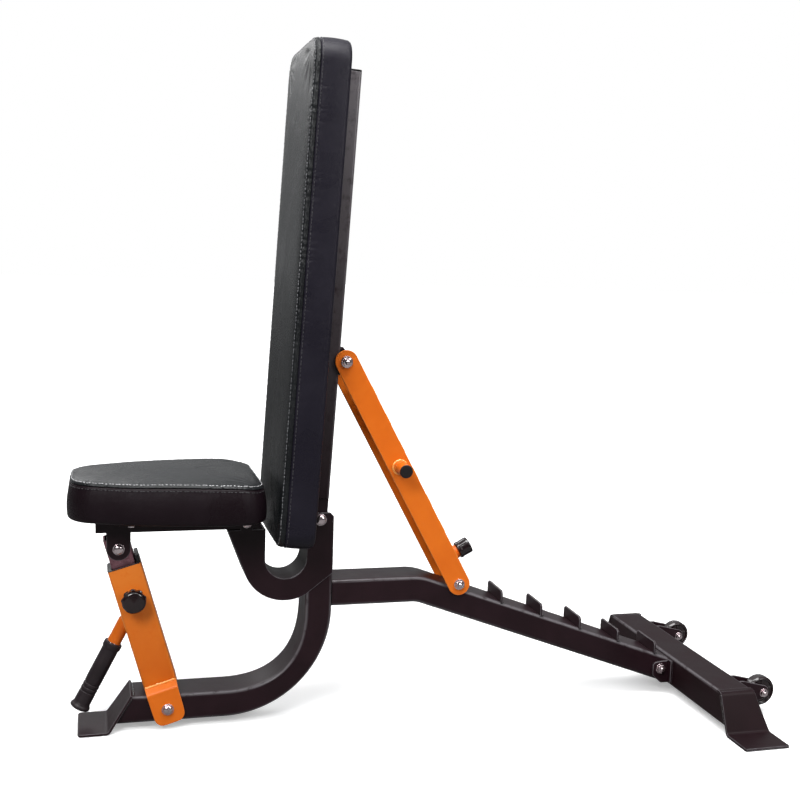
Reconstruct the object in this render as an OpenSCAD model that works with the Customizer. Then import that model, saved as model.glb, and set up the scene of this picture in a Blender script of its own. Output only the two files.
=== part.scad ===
// Adjustable weight bench: a bent box-tube frame with an open hook under the seat,
// a hinged backrest held by a strut on a ladder of catches, and a seat held by a telescopic post.
// X runs from the front foot to the rear wheels, Y across the bench, Z up.
// Inside the modules X is measured from the centre of the upright.

/* [Main frame] */
// Depth of the frame tube, in the side plane
tube_h = 50; // [40:1:60]
// Width of the frame tube across the bench
tube_w = 80; // [60:1:100]
// Wall of the frame tube
tube_wall = 2.5; // [2:0.1:4]
// Height of the lower tube above the floor
tube_lift = 14; // [8:1:30]
// Length of the lower tube, from its upper front corner to the centre of the upright
front_run = 338; // [290:1:420]
// Centre-line radius of the big bend
bend_r = 172; // [140:1:190]
// Thickness of the welded plates
plate_t = 4; // [3:0.5:5]

/* [Hook] */
// Height of the centre of the hook's round slot
slot_z = 311; // [305:1:330]
// Radius of the slot
slot_r = 38.5; // [32:0.5:42]
// Radius of the outside of the hook
hook_r = 80; // [74:1:84]
// Height where the hook's front arm ends under the seat
arm_top = 367; // [360:1:372]
// Lean of the front edge of the hook's front arm, in degrees from upright
arm_lean = 21.4; // [15:0.2:26]

/* [Rear beam and catches] */
// Height of the top of the level part of the rear beam
beam_top = 265.5; // [258:0.5:272]
// Distance from the upright's centre to the kink in the beam
beam_kink = 195; // [180:1:215]
// Slope of the rear beam, in degrees
beam_slope = 20; // [18:0.5:20.5]
// Distance along X from the upright's centre to the first tall catch
catch_x = 361; // [350:1:370]
// Spacing of the catches along X
catch_pitch = 84.2; // [70:0.1:84.5]
// Number of tall catches
catch_count = 5; // [5:1:5]
// Height of a tall catch above the beam
catch_h = 23; // [15:0.5:26]
// Height of the low rib at the upright position
rib_h = 4; // [2:0.5:5]

/* [Feet] */
// Distance from the upright's centre to the front face of the rear foot
rear_foot_x = 734; // [728:1:760]
// Size of the rear foot beam along X
rear_foot_l = 70; // [55:1:80]
// Height of the top of the rear foot beam
rear_foot_top = 76; // [72:1:80]
// Half-length of the rear foot beam across the bench
rear_foot_half = 239; // [200:1:260]
// Width across both rear foot pads
rear_foot_span = 672; // [640:1:760]
// Length of a rear foot pad, across the bench
pad_l = 66; // [50:1:80]
// Extra length along X of the rear foot pad behind the beam
pad_extra = 20; // [0:1:30]
// Thickness of the foot plates
foot_t = 5; // [4:0.5:8]
// Length of the front foot pad along X
toe_l = 52; // [40:1:70]
// Width of the front foot pad
toe_w = 106; // [90:1:140]

/* [Transport wheels] */
// Radius of a wheel
wheel_r = 29; // [25:0.5:32]
// Width of a wheel
wheel_w = 24; // [18:1:30]
// Distance from the bench's centre plane to the middle of a wheel
wheel_y = 170; // [120:1:190]
// Distance from the upright's centre to a wheel's centre
wheel_x = 860; // [858:1:875]
// Height of a wheel's centre
wheel_z = 46; // [42:1:52]

/* [Seat] */
// Distance from the upright's centre forward to the seat hinge
seat_hinge_back = 137; // [130:1:142]
// Height of the seat hinge
seat_hinge_z = 381; // [378:1:383]
// Length of the seat cushion ahead of the seat hinge
seat_fore = 313; // [295:1:330]
// Length of the seat cushion behind the seat hinge
seat_aft = 27; // [22:1:32]
// Half-width of the seat cushion at the back
seat_half = 140; // [115:1:155]
// Half-width of the seat cushion near the front
seat_nose_half = 100; // [85:1:110]
// Height of the underside of the seat board
seat_board_z = 397; // [396:1:402]
// Thickness of a pad's wooden board
board_t = 12; // [9:1:15]
// Thickness of the seat cushion, with its board
seat_thick = 84; // [60:1:92]

/* [Seat post] */
// Distance from the upright's centre forward to the post's pivot
post_pivot_back = 276; // [270:1:282]
// Distance from the upright's centre forward to the clevis bolt
clevis_back = 363; // [355:1:370]
// Height of the clevis bolt
clevis_z = 336; // [330:1:340]
// Outer size of the post tube
post_size = 60; // [56:1:64]
// Wall of the post tube
post_wall = 2.5; // [2:0.1:3]
// Length along the post from its pivot to its upper end
post_top = 274; // [250:1:276]
// Outer size of the inner bar
bar_size = 44; // [38:1:46]
// Distance along the post from its pivot to the knob
seat_knob_at = 217; // [180:1:225]
// Spacing of the holes in the inner bar
bar_pitch = 31; // [28:1:36]

/* [Backrest] */
// Height of the backrest hinge
back_hinge_z = 382; // [380:1:386]
// Angle of the backrest above level, at rest
back_angle = 87; // [84:0.5:88]
// Length of the back cushion above the hinge
back_up = 850; // [780:1:940]
// Length of the back cushion below the hinge
back_down = 36; // [16:1:38]
// Half-width of the back cushion
back_half = 135; // [115:1:150]
// Distance from the hinge to the rear face of the back board
back_board_v = 25; // [24:1:27]
// Thickness of the back cushion, with its board
back_thick = 68; // [50:1:70]
// Length of the back frame tube
back_frame_l = 772; // [700:1:800]
// Depth of the back frame tube
back_frame_h = 38; // [30:1:39]

/* [Back strut] */
// Distance along the back from its hinge to the strut's bolt
strut_u = 295.7; // [290:0.5:300]
// Distance of the strut's bolt behind the hinge's line
strut_v = 24.5; // [20:0.5:28]
// Distance from the upright's centre to the strut's foot pin, at rest
foot_pin_x = 272; // [268:1:276]
// Height of the strut's foot pin, at rest
foot_pin_z = 249; // [247:1:252]
// Width of the strut's side plates
strut_w = 43; // [36:1:46]
// Radius of the foot pin
foot_pin_r = 6; // [5:0.5:8]

/* [Hardware] */
// Radius of the pivot bolts
bolt_r = 6; // [5:0.5:7]
// Radius of the dome bolt heads
head_r = 11; // [9:0.5:12]
// Radial clearance of a bolt in a part that turns on it
run_gap = 0.05; // [0.02:0.01:0.1]
// Gap beside a part that turns
side_gap = 1.5; // [1:0.1:2.5]

/* [Hidden] */
$fn = 64;

half_w = tube_w / 2;
corner_r = 5;
seat_hinge_x = -seat_hinge_back;
post_x = -post_pivot_back;
clevis_x = -clevis_back;
rear_face = tube_h / 2;
slot_x = -tube_h / 2 - slot_r;
beam_mid = beam_top - tube_h / 2;
lower_mid = tube_lift + tube_h / 2;
wheel_back = wheel_x + wheel_r;
seat_nose = seat_hinge_x - seat_fore;
// The part's origin lies midway between the seat's nose and the backs of the wheels.
origin_x = (wheel_back + seat_nose) / 2;
cut = 400;
mitre_low = slot_z - sqrt(hook_r * hook_r - slot_r * slot_r);
mitre_rise = 39;
ear_top = back_hinge_z + 13;
// The ears' front edge stays inside the circle that the back board sweeps.
ear_front = 23.5;
seat_hub_r = 11;

module placed() { translate([-origin_x, 0, 0]) children(); }

// A plate whose outline lies in X and Z, centred on y, t thick.
module side_plate(y, t) {
  translate([0, y + t / 2, 0]) rotate([90, 0, 0]) linear_extrude(t) children();
}

// A rectangle with round corners, centred.
module round_rect(a, b, r) {
  union() {
    square([a - 2 * r, b], center = true);
    square([a, b - 2 * r], center = true);
    for (i = [-1, 1], j = [-1, 1]) translate([i * (a / 2 - r), j * (b / 2 - r)]) circle(r);
  }
}

// A bar along X from x = 0, with height h and width w.
module bar_x(l, h, w, r) {
  rotate([90, 0, 90]) linear_extrude(l) round_rect(w, h, r);
}

// A bend in the X-Z plane about its own centre.
module bend_xz(r, h, w, c, from, sweep) {
  rotate([90, 0, 0]) rotate_extrude(start = from, angle = sweep) translate([r, 0]) round_rect(h, w, c);
}

module rod_y(r, l) { rotate([90, 0, 0]) cylinder(r = r, h = l, center = true); }

// A domed bolt head that stands on a face at y, pointing outwards along side * Y.
module dome_head(r, y, side) {
  dome_r = r * 1.25;
  sink = sqrt(dome_r * dome_r - r * r);
  intersection() {
    translate([0, y - side * sink, 0]) sphere(dome_r);
    translate([-r * 1.5, side > 0 ? y : y - r * 1.5, -r * 1.5]) cube(r * [3, 1.5, 3]);
  }
}

// A bolt across the bench with a dome head on each end, over a grip of half-width reach.
module cross_bolt(r, head, reach) {
  union() {
    rod_y(r, 2 * reach);
    dome_head(head, reach, 1);
    dome_head(head, -reach, -1);
  }
}

/* ---- frame ---- */

rise_l = mitre_low + mitre_rise - lower_mid - bend_r + 20;

module lower_run(h, w, c) {
  union() {
    translate([-cut - bend_r, 0, lower_mid]) bar_x(cut, h, w, c);
    translate([-bend_r, 0, lower_mid + bend_r]) bend_xz(bend_r, h, w, c, -90, 90);
    translate([0, 0, lower_mid + bend_r]) rotate([0, -90, 0]) bar_x(rise_l, h, w, c);
  }
}

foot_angle = 57;
toe_heel_x = -front_run - (tube_lift + tube_h - foot_t) / tan(foot_angle) - foot_t / sin(foot_angle);

// Everything in front of the sloping front plate's rear face.
module ahead_of_plate() {
  translate([-front_run, 0, tube_lift + tube_h]) rotate([0, 90 - foot_angle, 0])
    translate([-cut, -cut / 2, -cut / 2]) cube(cut);
}

// Everything above the mitre between the lower tube and the hook.
module above_mitre() {
  translate([-rear_face, 0, mitre_low]) rotate([0, -atan(mitre_rise / tube_h), 0])
    translate([-cut / 2, -cut / 2, 0]) cube([cut, cut, cut * 2]);
}

module lower_tube() {
  color("#1c1c1e") difference() {
    lower_run(tube_h, tube_w, corner_r);
    lower_run(tube_h - 2 * tube_wall, tube_w - 2 * tube_wall, corner_r - tube_wall);
    ahead_of_plate();
    above_mitre();
    translate([post_x, 0, lower_mid]) rod_y(bolt_r, tube_w + 2);
  }
}

// The front arm and the round of the hook as one solid, set in by d, with y and t as in side_plate.
module hook_body(d, y, t) {
  r = hook_r - d;
  // The straight edge cuts a hair inside the round, so that the two meet at an angle.
  reach = r - 0.4;
  touch = [slot_x - reach * cos(arm_lean), slot_z - reach * sin(arm_lean)];
  rise = arm_top - touch[1];
  difference() {
    union() {
      translate([slot_x, y, slot_z]) rod_y(r, t, $fn = 128);
      side_plate(y, t) polygon([touch, [touch[0] - rise * tan(arm_lean), arm_top + 1], [slot_x, arm_top + 1],
        [slot_x, slot_z]]);
    }
    translate([slot_x - cut / 2, y - t, arm_top]) cube([cut, 2 * t, cut]);
    translate([-rear_face, y - t, slot_z - cut / 2]) cube([cut, 2 * t, cut]);
  }
}

// The round slot and the open gap above it, as a cutter.
module slot_cutter(r, y, t) {
  translate([slot_x, y, slot_z]) rod_y(r, t, $fn = 96);
  translate([slot_x - r, y - t / 2, slot_z]) cube([2 * r, t, cut]);
}

module hook_side(y) {
  color("#1c1c1e") difference() {
    union() {
      difference() {
        hook_body(0, y, plate_t);
        slot_cutter(slot_r, y, plate_t + 2);
      }
      side_plate(y, plate_t) polygon([[-rear_face - 0.01, mitre_low], [rear_face, mitre_low + mitre_rise],
        [rear_face, ear_top - 7], [rear_face - 7, ear_top], [-ear_front + 9, ear_top], [-ear_front, ear_top - 9],
        [-ear_front, back_hinge_z - 10], [-rear_face - 0.01, back_hinge_z - 14], [-rear_face - 0.01, slot_z]]);
      translate([seat_hinge_x, y, seat_hinge_z]) rod_y(seat_hub_r, plate_t);
      side_plate(y, plate_t) translate([seat_hinge_x - seat_hub_r, arm_top - 8])
        square([2 * seat_hub_r, seat_hinge_z - arm_top + 8]);
    }
    translate([seat_hinge_x, y, seat_hinge_z]) rod_y(bolt_r, plate_t + 2);
    translate([0, y, back_hinge_z]) rod_y(bolt_r, plate_t + 2);
  }
}

liner_w = tube_w - 2 * plate_t;
liner_top = back_hinge_z - 27;

module hook_inner_liner() {
  color("#1c1c1e") difference() {
    slot_cutter(slot_r + plate_t, 0, liner_w);
    slot_cutter(slot_r, 0, liner_w + 2);
    translate([slot_x - cut, -half_w, arm_top]) cube([cut, tube_w, cut]);
    translate([slot_x - 1, -half_w, liner_top]) cube([cut, tube_w, cut]);
  }
}

module hook_outer_liner() {
  color("#1c1c1e") difference() {
    hook_body(0, 0, liner_w);
    hook_body(plate_t, 0, liner_w + 2);
    translate([slot_x, -half_w, slot_z]) cube(cut);
    translate([slot_x - slot_r + 1, -half_w, slot_z]) cube(cut);
  }
}

module upright_rear_liner() {
  color("#1c1c1e") side_plate(0, liner_w)
    polygon([[rear_face - plate_t, mitre_low + mitre_rise], [rear_face, mitre_low + mitre_rise],
      [rear_face, liner_top], [rear_face - plate_t, liner_top]]);
}

kink_r = 75;
kink_run = kink_r * tan(beam_slope / 2);

module beam_run(h, w, c) {
  union() {
    translate([rear_face, 0, beam_mid]) bar_x(beam_kink - kink_run - rear_face, h, w, c);
    translate([beam_kink - kink_run, 0, beam_mid - kink_r]) bend_xz(kink_r, h, w, c, 90 - beam_slope, beam_slope);
    translate([beam_kink, 0, beam_mid]) rotate([0, beam_slope, 0]) translate([kink_run, 0, 0]) bar_x(cut * 2, h, w, c);
  }
}

module rear_beam() {
  color("#1c1c1e") difference() {
    beam_run(tube_h, tube_w, corner_r);
    beam_run(tube_h - 2 * tube_wall, tube_w - 2 * tube_wall, corner_r - tube_wall);
    translate([rear_foot_x - bracket_t, -cut / 2, -cut]) cube([cut * 2, cut, cut * 2]);
    translate([bracket_bolt_x, 0, bracket_bolt_z]) rod_y(5, tube_w + 2);
  }
}

// Height of the beam's upper face at a distance x behind the upright.
function beam_face(x) = beam_mid + tube_h / 2 / cos(beam_slope) - (x - beam_kink) * tan(beam_slope);

// A transverse plate that stands on the beam's sloping face.
module beam_plate(x, h, t) {
  color("#1c1c1e") side_plate(0, tube_w)
    polygon([[x, beam_face(x)], [x + t, beam_face(x + t)], [x + t, beam_face(x) + h], [x, beam_face(x) + h]]);
}

module catch_plate(i) { beam_plate(catch_x + (i - 1) * catch_pitch, catch_h, plate_t); }

module low_rib() { beam_plate(catch_x - catch_pitch + 4, rib_h, plate_t + 2); }

/* ---- feet ---- */

module front_foot() {
  slope_l = (tube_lift + tube_h + 2) / sin(foot_angle);
  color("#1c1c1e") union() {
    translate([toe_heel_x - toe_l, -toe_w / 2, 0]) cube([toe_l + 3, toe_w, foot_t]);
    translate([-front_run, 0, tube_lift + tube_h]) rotate([0, -foot_angle, 0]) translate([2, 0, 0])
      rotate([0, 0, 180]) linear_extrude(foot_t)
        polygon([[0, -half_w], [0, half_w], [slope_l, toe_w / 2], [slope_l, -toe_w / 2]]);
  }
}

bracket_t = 5;
bracket_bolt_x = rear_foot_x - 22;
bracket_bolt_z = beam_face(bracket_bolt_x) - tube_h / 2 / cos(beam_slope);
foot_bottom = tube_lift + 2;
foot_beam_h = rear_foot_top - foot_bottom;

pad_in = rear_foot_span / 2 - pad_l;
end_lean = atan((pad_in - rear_foot_half) / (rear_foot_top - foot_t));

// The beam's ends are cut to the slope of the end plates.
module rear_foot_beam() {
  color("#1c1c1e") difference() {
    translate([rear_foot_x + rear_foot_l / 2, 0, foot_bottom + foot_beam_h / 2])
      rotate([90, 0, 0]) linear_extrude(2 * pad_in, center = true) difference() {
        round_rect(rear_foot_l, foot_beam_h, corner_r);
        round_rect(rear_foot_l - 2 * tube_wall, foot_beam_h - 2 * tube_wall, corner_r - tube_wall);
      }
    for (m = [0, 1]) mirror([0, m, 0]) translate([rear_foot_x - 1, rear_foot_half, rear_foot_top])
      rotate([end_lean, 0, 0]) translate([0, -foot_t, -cut / 2]) cube([rear_foot_l + 2, cut / 2, cut]);
  }
}

// The sheet at one end of the rear foot: it slopes down from the beam and turns out into a flat pad, and its rear edge runs out to the pad's.
module rear_foot_plate(side) {
  foot_in = rear_foot_half - foot_t * cos(end_lean);
  foot_low = rear_foot_top - foot_t * sin(end_lean);
  tip_r = 6;
  rear_x = rear_foot_x + rear_foot_l;
  color("#1c1c1e") mirror([0, side < 0 ? 1 : 0, 0]) difference() {
    translate([rear_foot_x, 0, 0]) rotate([90, 0, 90]) linear_extrude(rear_foot_l + pad_extra)
      polygon([[rear_foot_half, rear_foot_top], [foot_in, foot_low], [foot_in + foot_low * tan(end_lean), 0],
        [rear_foot_span / 2, 0], [rear_foot_span / 2, foot_t], [pad_in, foot_t]]);
    translate([0, rear_foot_span, 0]) rotate([90, 0, 0]) linear_extrude(rear_foot_span)
      polygon([[rear_x, rear_foot_top + 1], [rear_x, rear_foot_top], [rear_x + pad_extra, foot_t],
        [rear_x + pad_extra + 1, foot_t], [rear_x + pad_extra + 1, rear_foot_top + 1]]);
    for (tip = [[rear_foot_x, 0], [rear_x + pad_extra, 1]])
      translate([tip[0], rear_foot_span / 2, -1]) mirror([tip[1], 0, 0]) linear_extrude(foot_t + 2) difference() {
        translate([-1, -tip_r]) square([tip_r + 1, tip_r + 1]);
        translate([tip_r, -tip_r]) circle(tip_r);
      }
  }
}

module foot_bracket() {
  color("#1c1c1e") difference() {
    union() {
      translate([rear_foot_x - bracket_t, -half_w - 16, foot_bottom + 6]) cube([bracket_t, tube_w + 32, foot_beam_h - 12]);
      for (s = [-1, 1]) side_plate(s * (half_w + bracket_t / 2 + 0.2), bracket_t)
        polygon([[rear_foot_x - bracket_t, 22], [rear_foot_x - bracket_t, 68], [bracket_bolt_x + 8, 68],
          [bracket_bolt_x - 16, bracket_bolt_z + 12], [bracket_bolt_x - 16, bracket_bolt_z - 12], [bracket_bolt_x + 2, 22]]);
    }
    translate([bracket_bolt_x, 0, bracket_bolt_z]) rod_y(5, tube_w + 40);
  }
}

module foot_bracket_bolts() {
  reach = half_w + bracket_t + 0.2;
  color("silver") translate([bracket_bolt_x, 0, bracket_bolt_z]) cross_bolt(5, 10, reach);
}

/* ---- wheels ---- */

wheel_bore = 5;
fork_t = 4;
fork_y = wheel_w / 2 + side_gap + fork_t / 2;

module wheel_brackets() {
  foot_back = rear_foot_x + rear_foot_l;
  color("#1c1c1e") for (s = [-1, 1], f = [-1, 1]) difference() {
    side_plate(s * wheel_y + f * fork_y, fork_t) union() {
      translate([wheel_x, wheel_z]) circle(14);
      polygon([[foot_back, foot_bottom + 8], [foot_back, rear_foot_top - 4], [foot_back + 10, rear_foot_top - 4],
        [wheel_x + 6, wheel_z + 12.6], [wheel_x, wheel_z - 14]]);
    }
    translate([wheel_x, s * wheel_y + f * fork_y, wheel_z]) rod_y(wheel_bore, fork_t + 2);
  }
}

module wheel_axles() {
  color("silver") for (s = [-1, 1]) translate([wheel_x, s * wheel_y, wheel_z])
    cross_bolt(wheel_bore, 9, fork_y + fork_t / 2);
}

module wheel(side) {
  color("#101012") translate([wheel_x, side * wheel_y, wheel_z]) rotate([90, 0, 0]) rotate_extrude($fn = 96)
    polygon([[wheel_bore + run_gap, -wheel_w / 2], [13, -wheel_w / 2], [14, -wheel_w / 2 + 3],
      [wheel_r - 7, -wheel_w / 2 + 3], [wheel_r - 5, -wheel_w / 2], [wheel_r - 2, -wheel_w / 2 + 1],
      [wheel_r, -wheel_w / 2 + 5], [wheel_r, wheel_w / 2 - 5], [wheel_r - 2, wheel_w / 2 - 1],
      [wheel_r - 5, wheel_w / 2], [wheel_r - 7, wheel_w / 2 - 3], [14, wheel_w / 2 - 3], [13, wheel_w / 2],
      [wheel_bore + run_gap, wheel_w / 2]]);
}

/* ---- pivot bolts on the frame ---- */

ear_t = 5;
ear_y = half_w + side_gap + ear_t / 2;

module post_pivot_bolt() {
  color("silver") translate([post_x, 0, lower_mid]) cross_bolt(bolt_r, head_r, ear_y + ear_t / 2 + 0.5);
}

rail_t = 3;
rail_y = half_w + side_gap + rail_t / 2;

module seat_hinge_bolt() {
  color("silver") translate([seat_hinge_x, 0, seat_hinge_z]) cross_bolt(bolt_r, 9, rail_y + rail_t / 2 + 0.5);
}

module back_hinge_bolt() {
  color("silver") translate([0, 0, back_hinge_z]) cross_bolt(bolt_r, head_r, half_w);
}

/* ---- seat post: its own frame has Z along the post and its origin at the pivot ---- */

post_lean = atan((clevis_back - post_pivot_back) / (clevis_z - lower_mid));
bar_eye = sqrt(pow(clevis_back - post_pivot_back, 2) + pow(clevis_z - lower_mid, 2));
post_bottom = 38.5;

module on_post() { translate([post_x, 0, lower_mid]) rotate([0, -post_lean, 0]) children(); }

module post_tube() {
  inner = post_size - 2 * post_wall;
  color("#d96f20") on_post() difference() {
    translate([0, 0, post_bottom]) linear_extrude(post_top - post_bottom) difference() {
      round_rect(post_size, post_size, 4);
      round_rect(inner, inner, 4 - post_wall);
    }
    translate([0, -post_size / 2, seat_knob_at]) rod_y(7, 20);
  }
}

// A joggled ear: it leaves the tube's side and steps out beside the frame tube, clear of its top corner.
module post_ear(side) {
  w = post_size - 4;
  flat_to = post_bottom - 4.5;
  ear_in = ear_y - ear_t / 2;
  color("#d96f20") on_post() mirror([0, side < 0 ? 1 : 0, 0]) difference() {
    union() {
      translate([0, ear_y + ear_t / 2, 0]) rotate([90, 0, 0]) linear_extrude(ear_t) union() {
        circle(w / 2);
        translate([-w / 2, 0]) square([w, flat_to]);
      }
      translate([w / 2, 0, 0]) rotate([0, -90, 0]) linear_extrude(w)
        polygon([[flat_to, ear_in], [flat_to, ear_in + ear_t], [flat_to + 3, ear_in + ear_t],
          [post_bottom + 6.5, post_size / 2 + ear_t], [post_bottom + 9, post_size / 2 + ear_t],
          [post_bottom + 9, post_size / 2], [post_bottom + 4, post_size / 2]]);
    }
    rod_y(bolt_r + run_gap, 200);
  }
}

insert_flange = 4;

module post_insert() {
  inner = post_size - 2 * post_wall - 0.2;
  color("#2a2a2c") on_post() difference() {
    union() {
      translate([0, 0, post_top - 40]) linear_extrude(40) round_rect(inner, inner, 1.4);
      translate([0, 0, post_top]) linear_extrude(insert_flange) round_rect(post_size, post_size, 4);
    }
    translate([0, 0, post_top - 41]) linear_extrude(60) round_rect(bar_size + 0.8, bar_size + 0.8, 3.2);
  }
}

handle_r = 12.5;
handle_lean = 27;
handle_from = 168;
handle_l = 175;

// The handle's own frame has Z down its length; it leaves the post's front face.
module on_handle() {
  on_post() translate([-post_size / 2, 0, handle_from]) rotate([0, 180 + post_lean + handle_lean, 0]) children();
}

module post_handle() {
  color("#d96f20") difference() {
    on_handle() translate([0, 0, -20]) difference() {
      cylinder(r = handle_r, h = handle_l + 14);
      translate([0, 0, -1]) cylinder(r = handle_r - 2, h = handle_l + 40);
    }
    on_post() translate([-post_size / 2, -40, handle_from - 100]) cube([post_size, 80, 200]);
  }
}

grip_l = 134;

module handle_grip() {
  wall = 2.6;
  color("#151517") on_handle() translate([0, 0, handle_l - grip_l]) difference() {
    rotate_extrude($fn = 64) polygon([[handle_r + 0.02, 0], [handle_r + wall + 1.6, 0], [handle_r + wall + 1.6, 10],
      [handle_r + wall, 12], [handle_r + wall, grip_l - 8], [handle_r + wall + 3, grip_l - 5],
      [handle_r + wall + 3, grip_l], [0, grip_l], [0, grip_l - 5], [handle_r + 0.02, grip_l - 5]]);
  }
}

barrel_r = 13;
barrel_l = 18;
pin_r = 5;

module seat_knob_barrel() {
  color("#d96f20") on_post() translate([0, -post_size / 2, seat_knob_at]) rotate([90, 0, 0])
    difference() {
      cylinder(r = barrel_r, h = barrel_l);
      translate([0, 0, -1]) cylinder(r = pin_r + run_gap, h = barrel_l + 2);
    }
}

/* ---- inner bar ---- */

bar_low = 60;
eye_r = 8;

module inner_bar() {
  color("#b8b8bc") on_post() difference() {
    translate([0, 0, bar_low]) linear_extrude(bar_eye + 20 - bar_low) difference() {
      round_rect(bar_size, bar_size, 3);
      round_rect(bar_size - 5, bar_size - 5, 1);
    }
    translate([0, 0, bar_eye]) rod_y(eye_r, 100);
    for (i = [0:2]) translate([0, -bar_size / 2, seat_knob_at - i * bar_pitch]) rod_y(6, 20);
  }
}

/* ---- seat knob: slides along -Y ---- */

module seat_knob() {
  lobes = 8;
  color("#151517") on_post() translate([0, -post_size / 2 - barrel_l - 0.5, seat_knob_at]) rotate([90, 0, 0])
    difference() {
      union() {
        cylinder(r = 22, h = 14);
        translate([0, 0, 14]) intersection() {
          cylinder(r = 22, h = 6);
          translate([0, 0, -44]) sphere(49);
        }
      }
      for (i = [0:lobes - 1]) rotate(i * 360 / lobes) translate([25.5, 0, -1]) cylinder(r = 5.5, h = 13, $fn = 32);
      translate([0, 0, -1]) cylinder(r = pin_r, h = 11);
    }
}

module seat_knob_pin() {
  color("silver") on_post() translate([0, -bar_size / 2 - 1, seat_knob_at]) rotate([90, 0, 0])
    cylinder(r = pin_r, h = post_size / 2 + barrel_l + 0.5 + 10 - bar_size / 2 - 1);
}

/* ---- seat ---- */

rail_front = seat_nose + 47;
rail_rear = seat_hinge_x + 25;
rail_bottom = seat_board_z - 27;
rail_top = seat_board_z;

module seat_frame() {
  l = rail_rear - rail_front;
  outer = 2 * (rail_y + rail_t / 2);
  color("#1c1c1e") difference() {
    union() {
      translate([rail_front, -outer / 2, rail_top - rail_t]) cube([l, outer, rail_t]);
      for (s = [-1, 1]) side_plate(s * rail_y, rail_t)
        translate([rail_front, rail_bottom]) square([l, rail_top - rail_bottom - rail_t / 2]);
      for (x = [rail_front + 60, seat_hinge_x - 60]) translate([x - 20, -seat_half + 40, rail_top - rail_t])
        cube([40, 2 * seat_half - 80, rail_t]);
      translate([rail_front, -outer / 2 + rail_t, rail_bottom]) cube([rail_t, outer - 2 * rail_t, rail_top - rail_bottom - rail_t]);
    }
    translate([seat_hinge_x, 0, seat_hinge_z]) rod_y(bolt_r + run_gap, outer + 10);
    translate([seat_hinge_x - 19, -half_w, rail_bottom]) cube([19 + cut, tube_w, rail_top - rail_bottom - rail_t - 2]);
    for (x = [rail_front + 60, seat_hinge_x - 60], s = [-1, 1])
      translate([x, s * (seat_half - 55), rail_top - rail_t - 1]) cylinder(r = 3.2, h = rail_t + 2);
  }
}

clevis_gap = bar_size / 2 + side_gap;
clevis_t = 5;
clevis_w = 42;

module seat_clevis() {
  color("#1c1c1e") difference() {
    for (s = [-1, 1]) side_plate(s * (clevis_gap + clevis_t / 2), clevis_t) union() {
      translate([clevis_x, clevis_z]) circle(clevis_w / 2);
      translate([clevis_x - clevis_w / 2, clevis_z]) square([clevis_w, rail_top - rail_t - clevis_z]);
    }
    translate([clevis_x, 0, clevis_z]) rod_y(5, 120);
  }
}

module clevis_bolt() {
  color("silver") translate([clevis_x, 0, clevis_z]) cross_bolt(5, 10, clevis_gap + clevis_t);
}

// The seat's plan: wide at the back, narrowing to a round nose; grow sets it in or out.
module seat_plan(grow) {
  x_back = seat_hinge_x + seat_aft + grow;
  x_nose = seat_nose - grow;
  back_r = 26;
  nose_r = 62;
  hull() {
    for (s = [-1, 1]) {
      translate([x_back - back_r, s * (seat_half + grow - back_r)]) circle(back_r, $fn = 32);
      translate([x_back - 130, s * (seat_half + grow - back_r)]) circle(back_r, $fn = 32);
      translate([x_nose + nose_r, s * (seat_nose_half + grow - nose_r)]) circle(nose_r, $fn = 32);
    }
  }
}

module seat_board() {
  color("#b08a5a") difference() {
    translate([0, 0, seat_board_z]) linear_extrude(board_t) seat_plan(-8);
    for (x = [rail_front + 60, seat_hinge_x - 60], s = [-1, 1])
      translate([x, s * (seat_half - 55), seat_board_z - 1]) cylinder(r = 3, h = board_t + 2);
  }
}

module seat_cushion() {
  color("#202022") difference() {
    hull() {
      translate([0, 0, seat_board_z + 2]) linear_extrude(40) seat_plan(0);
      translate([0, 0, seat_board_z + seat_thick - 12]) linear_extrude(1) seat_plan(-9);
      translate([0, 0, seat_board_z + seat_thick - 1]) linear_extrude(1) seat_plan(-34);
    }
    translate([0, 0, seat_board_z - 1]) linear_extrude(board_t + 1) seat_plan(-8);
  }
}

module seat_screws() {
  color("silver") for (x = [rail_front + 60, seat_hinge_x - 60], s = [-1, 1])
    translate([x, s * (seat_half - 55), 0]) union() {
      translate([0, 0, rail_top - rail_t - 4]) cylinder(r = 6.5, h = 4);
      translate([0, 0, rail_top - rail_t - 1]) cylinder(r = 3, h = rail_t + board_t);
    }
}

/* ---- backrest: its own frame has X up the back and Z out of the cushion ---- */

module on_back() { translate([0, 0, back_hinge_z]) rotate([0, -back_angle, 0]) children(); }

back_rear = back_board_v - back_frame_h;
back_frame_u = 40;
screw_u = [120, back_up - 130];

module back_frame() {
  color("#1c1c1e") on_back() difference() {
    translate([back_frame_u, 0, back_board_v - back_frame_h / 2]) difference() {
      bar_x(back_frame_l, back_frame_h, tube_w, 4);
      translate([-1, 0, 0]) bar_x(back_frame_l - 2, back_frame_h - 2 * tube_wall, tube_w - 2 * tube_wall, 1.5);
    }
    for (u = screw_u) translate([u, 0, back_board_v - tube_wall - 1]) cylinder(r = 3.2, h = tube_wall + 2);
    for (u = screw_u) translate([u, 0, back_rear - 1]) cylinder(r = 8, h = tube_wall + 2);
  }
}

hub_y = half_w - plate_t - side_gap;

module back_brackets() {
  color("#1c1c1e") on_back() difference() {
    union() {
      for (s = [-1, 1]) side_plate(s * (hub_y - ear_t / 2), ear_t) union() {
        circle(18);
        translate([0, -13]) square([back_frame_u + 60, back_board_v + 9]);
      }
      rod_y(12, 2 * hub_y);
    }
    rod_y(bolt_r + run_gap, 2 * hub_y + 2);
    translate([back_frame_u, -half_w, back_board_v - tube_wall]) cube([200, tube_w, 20]);
    translate([back_frame_u, -half_w, back_rear - 20 + tube_wall]) cube([200, tube_w, 20]);
  }
}

lug_t = 6;

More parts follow.
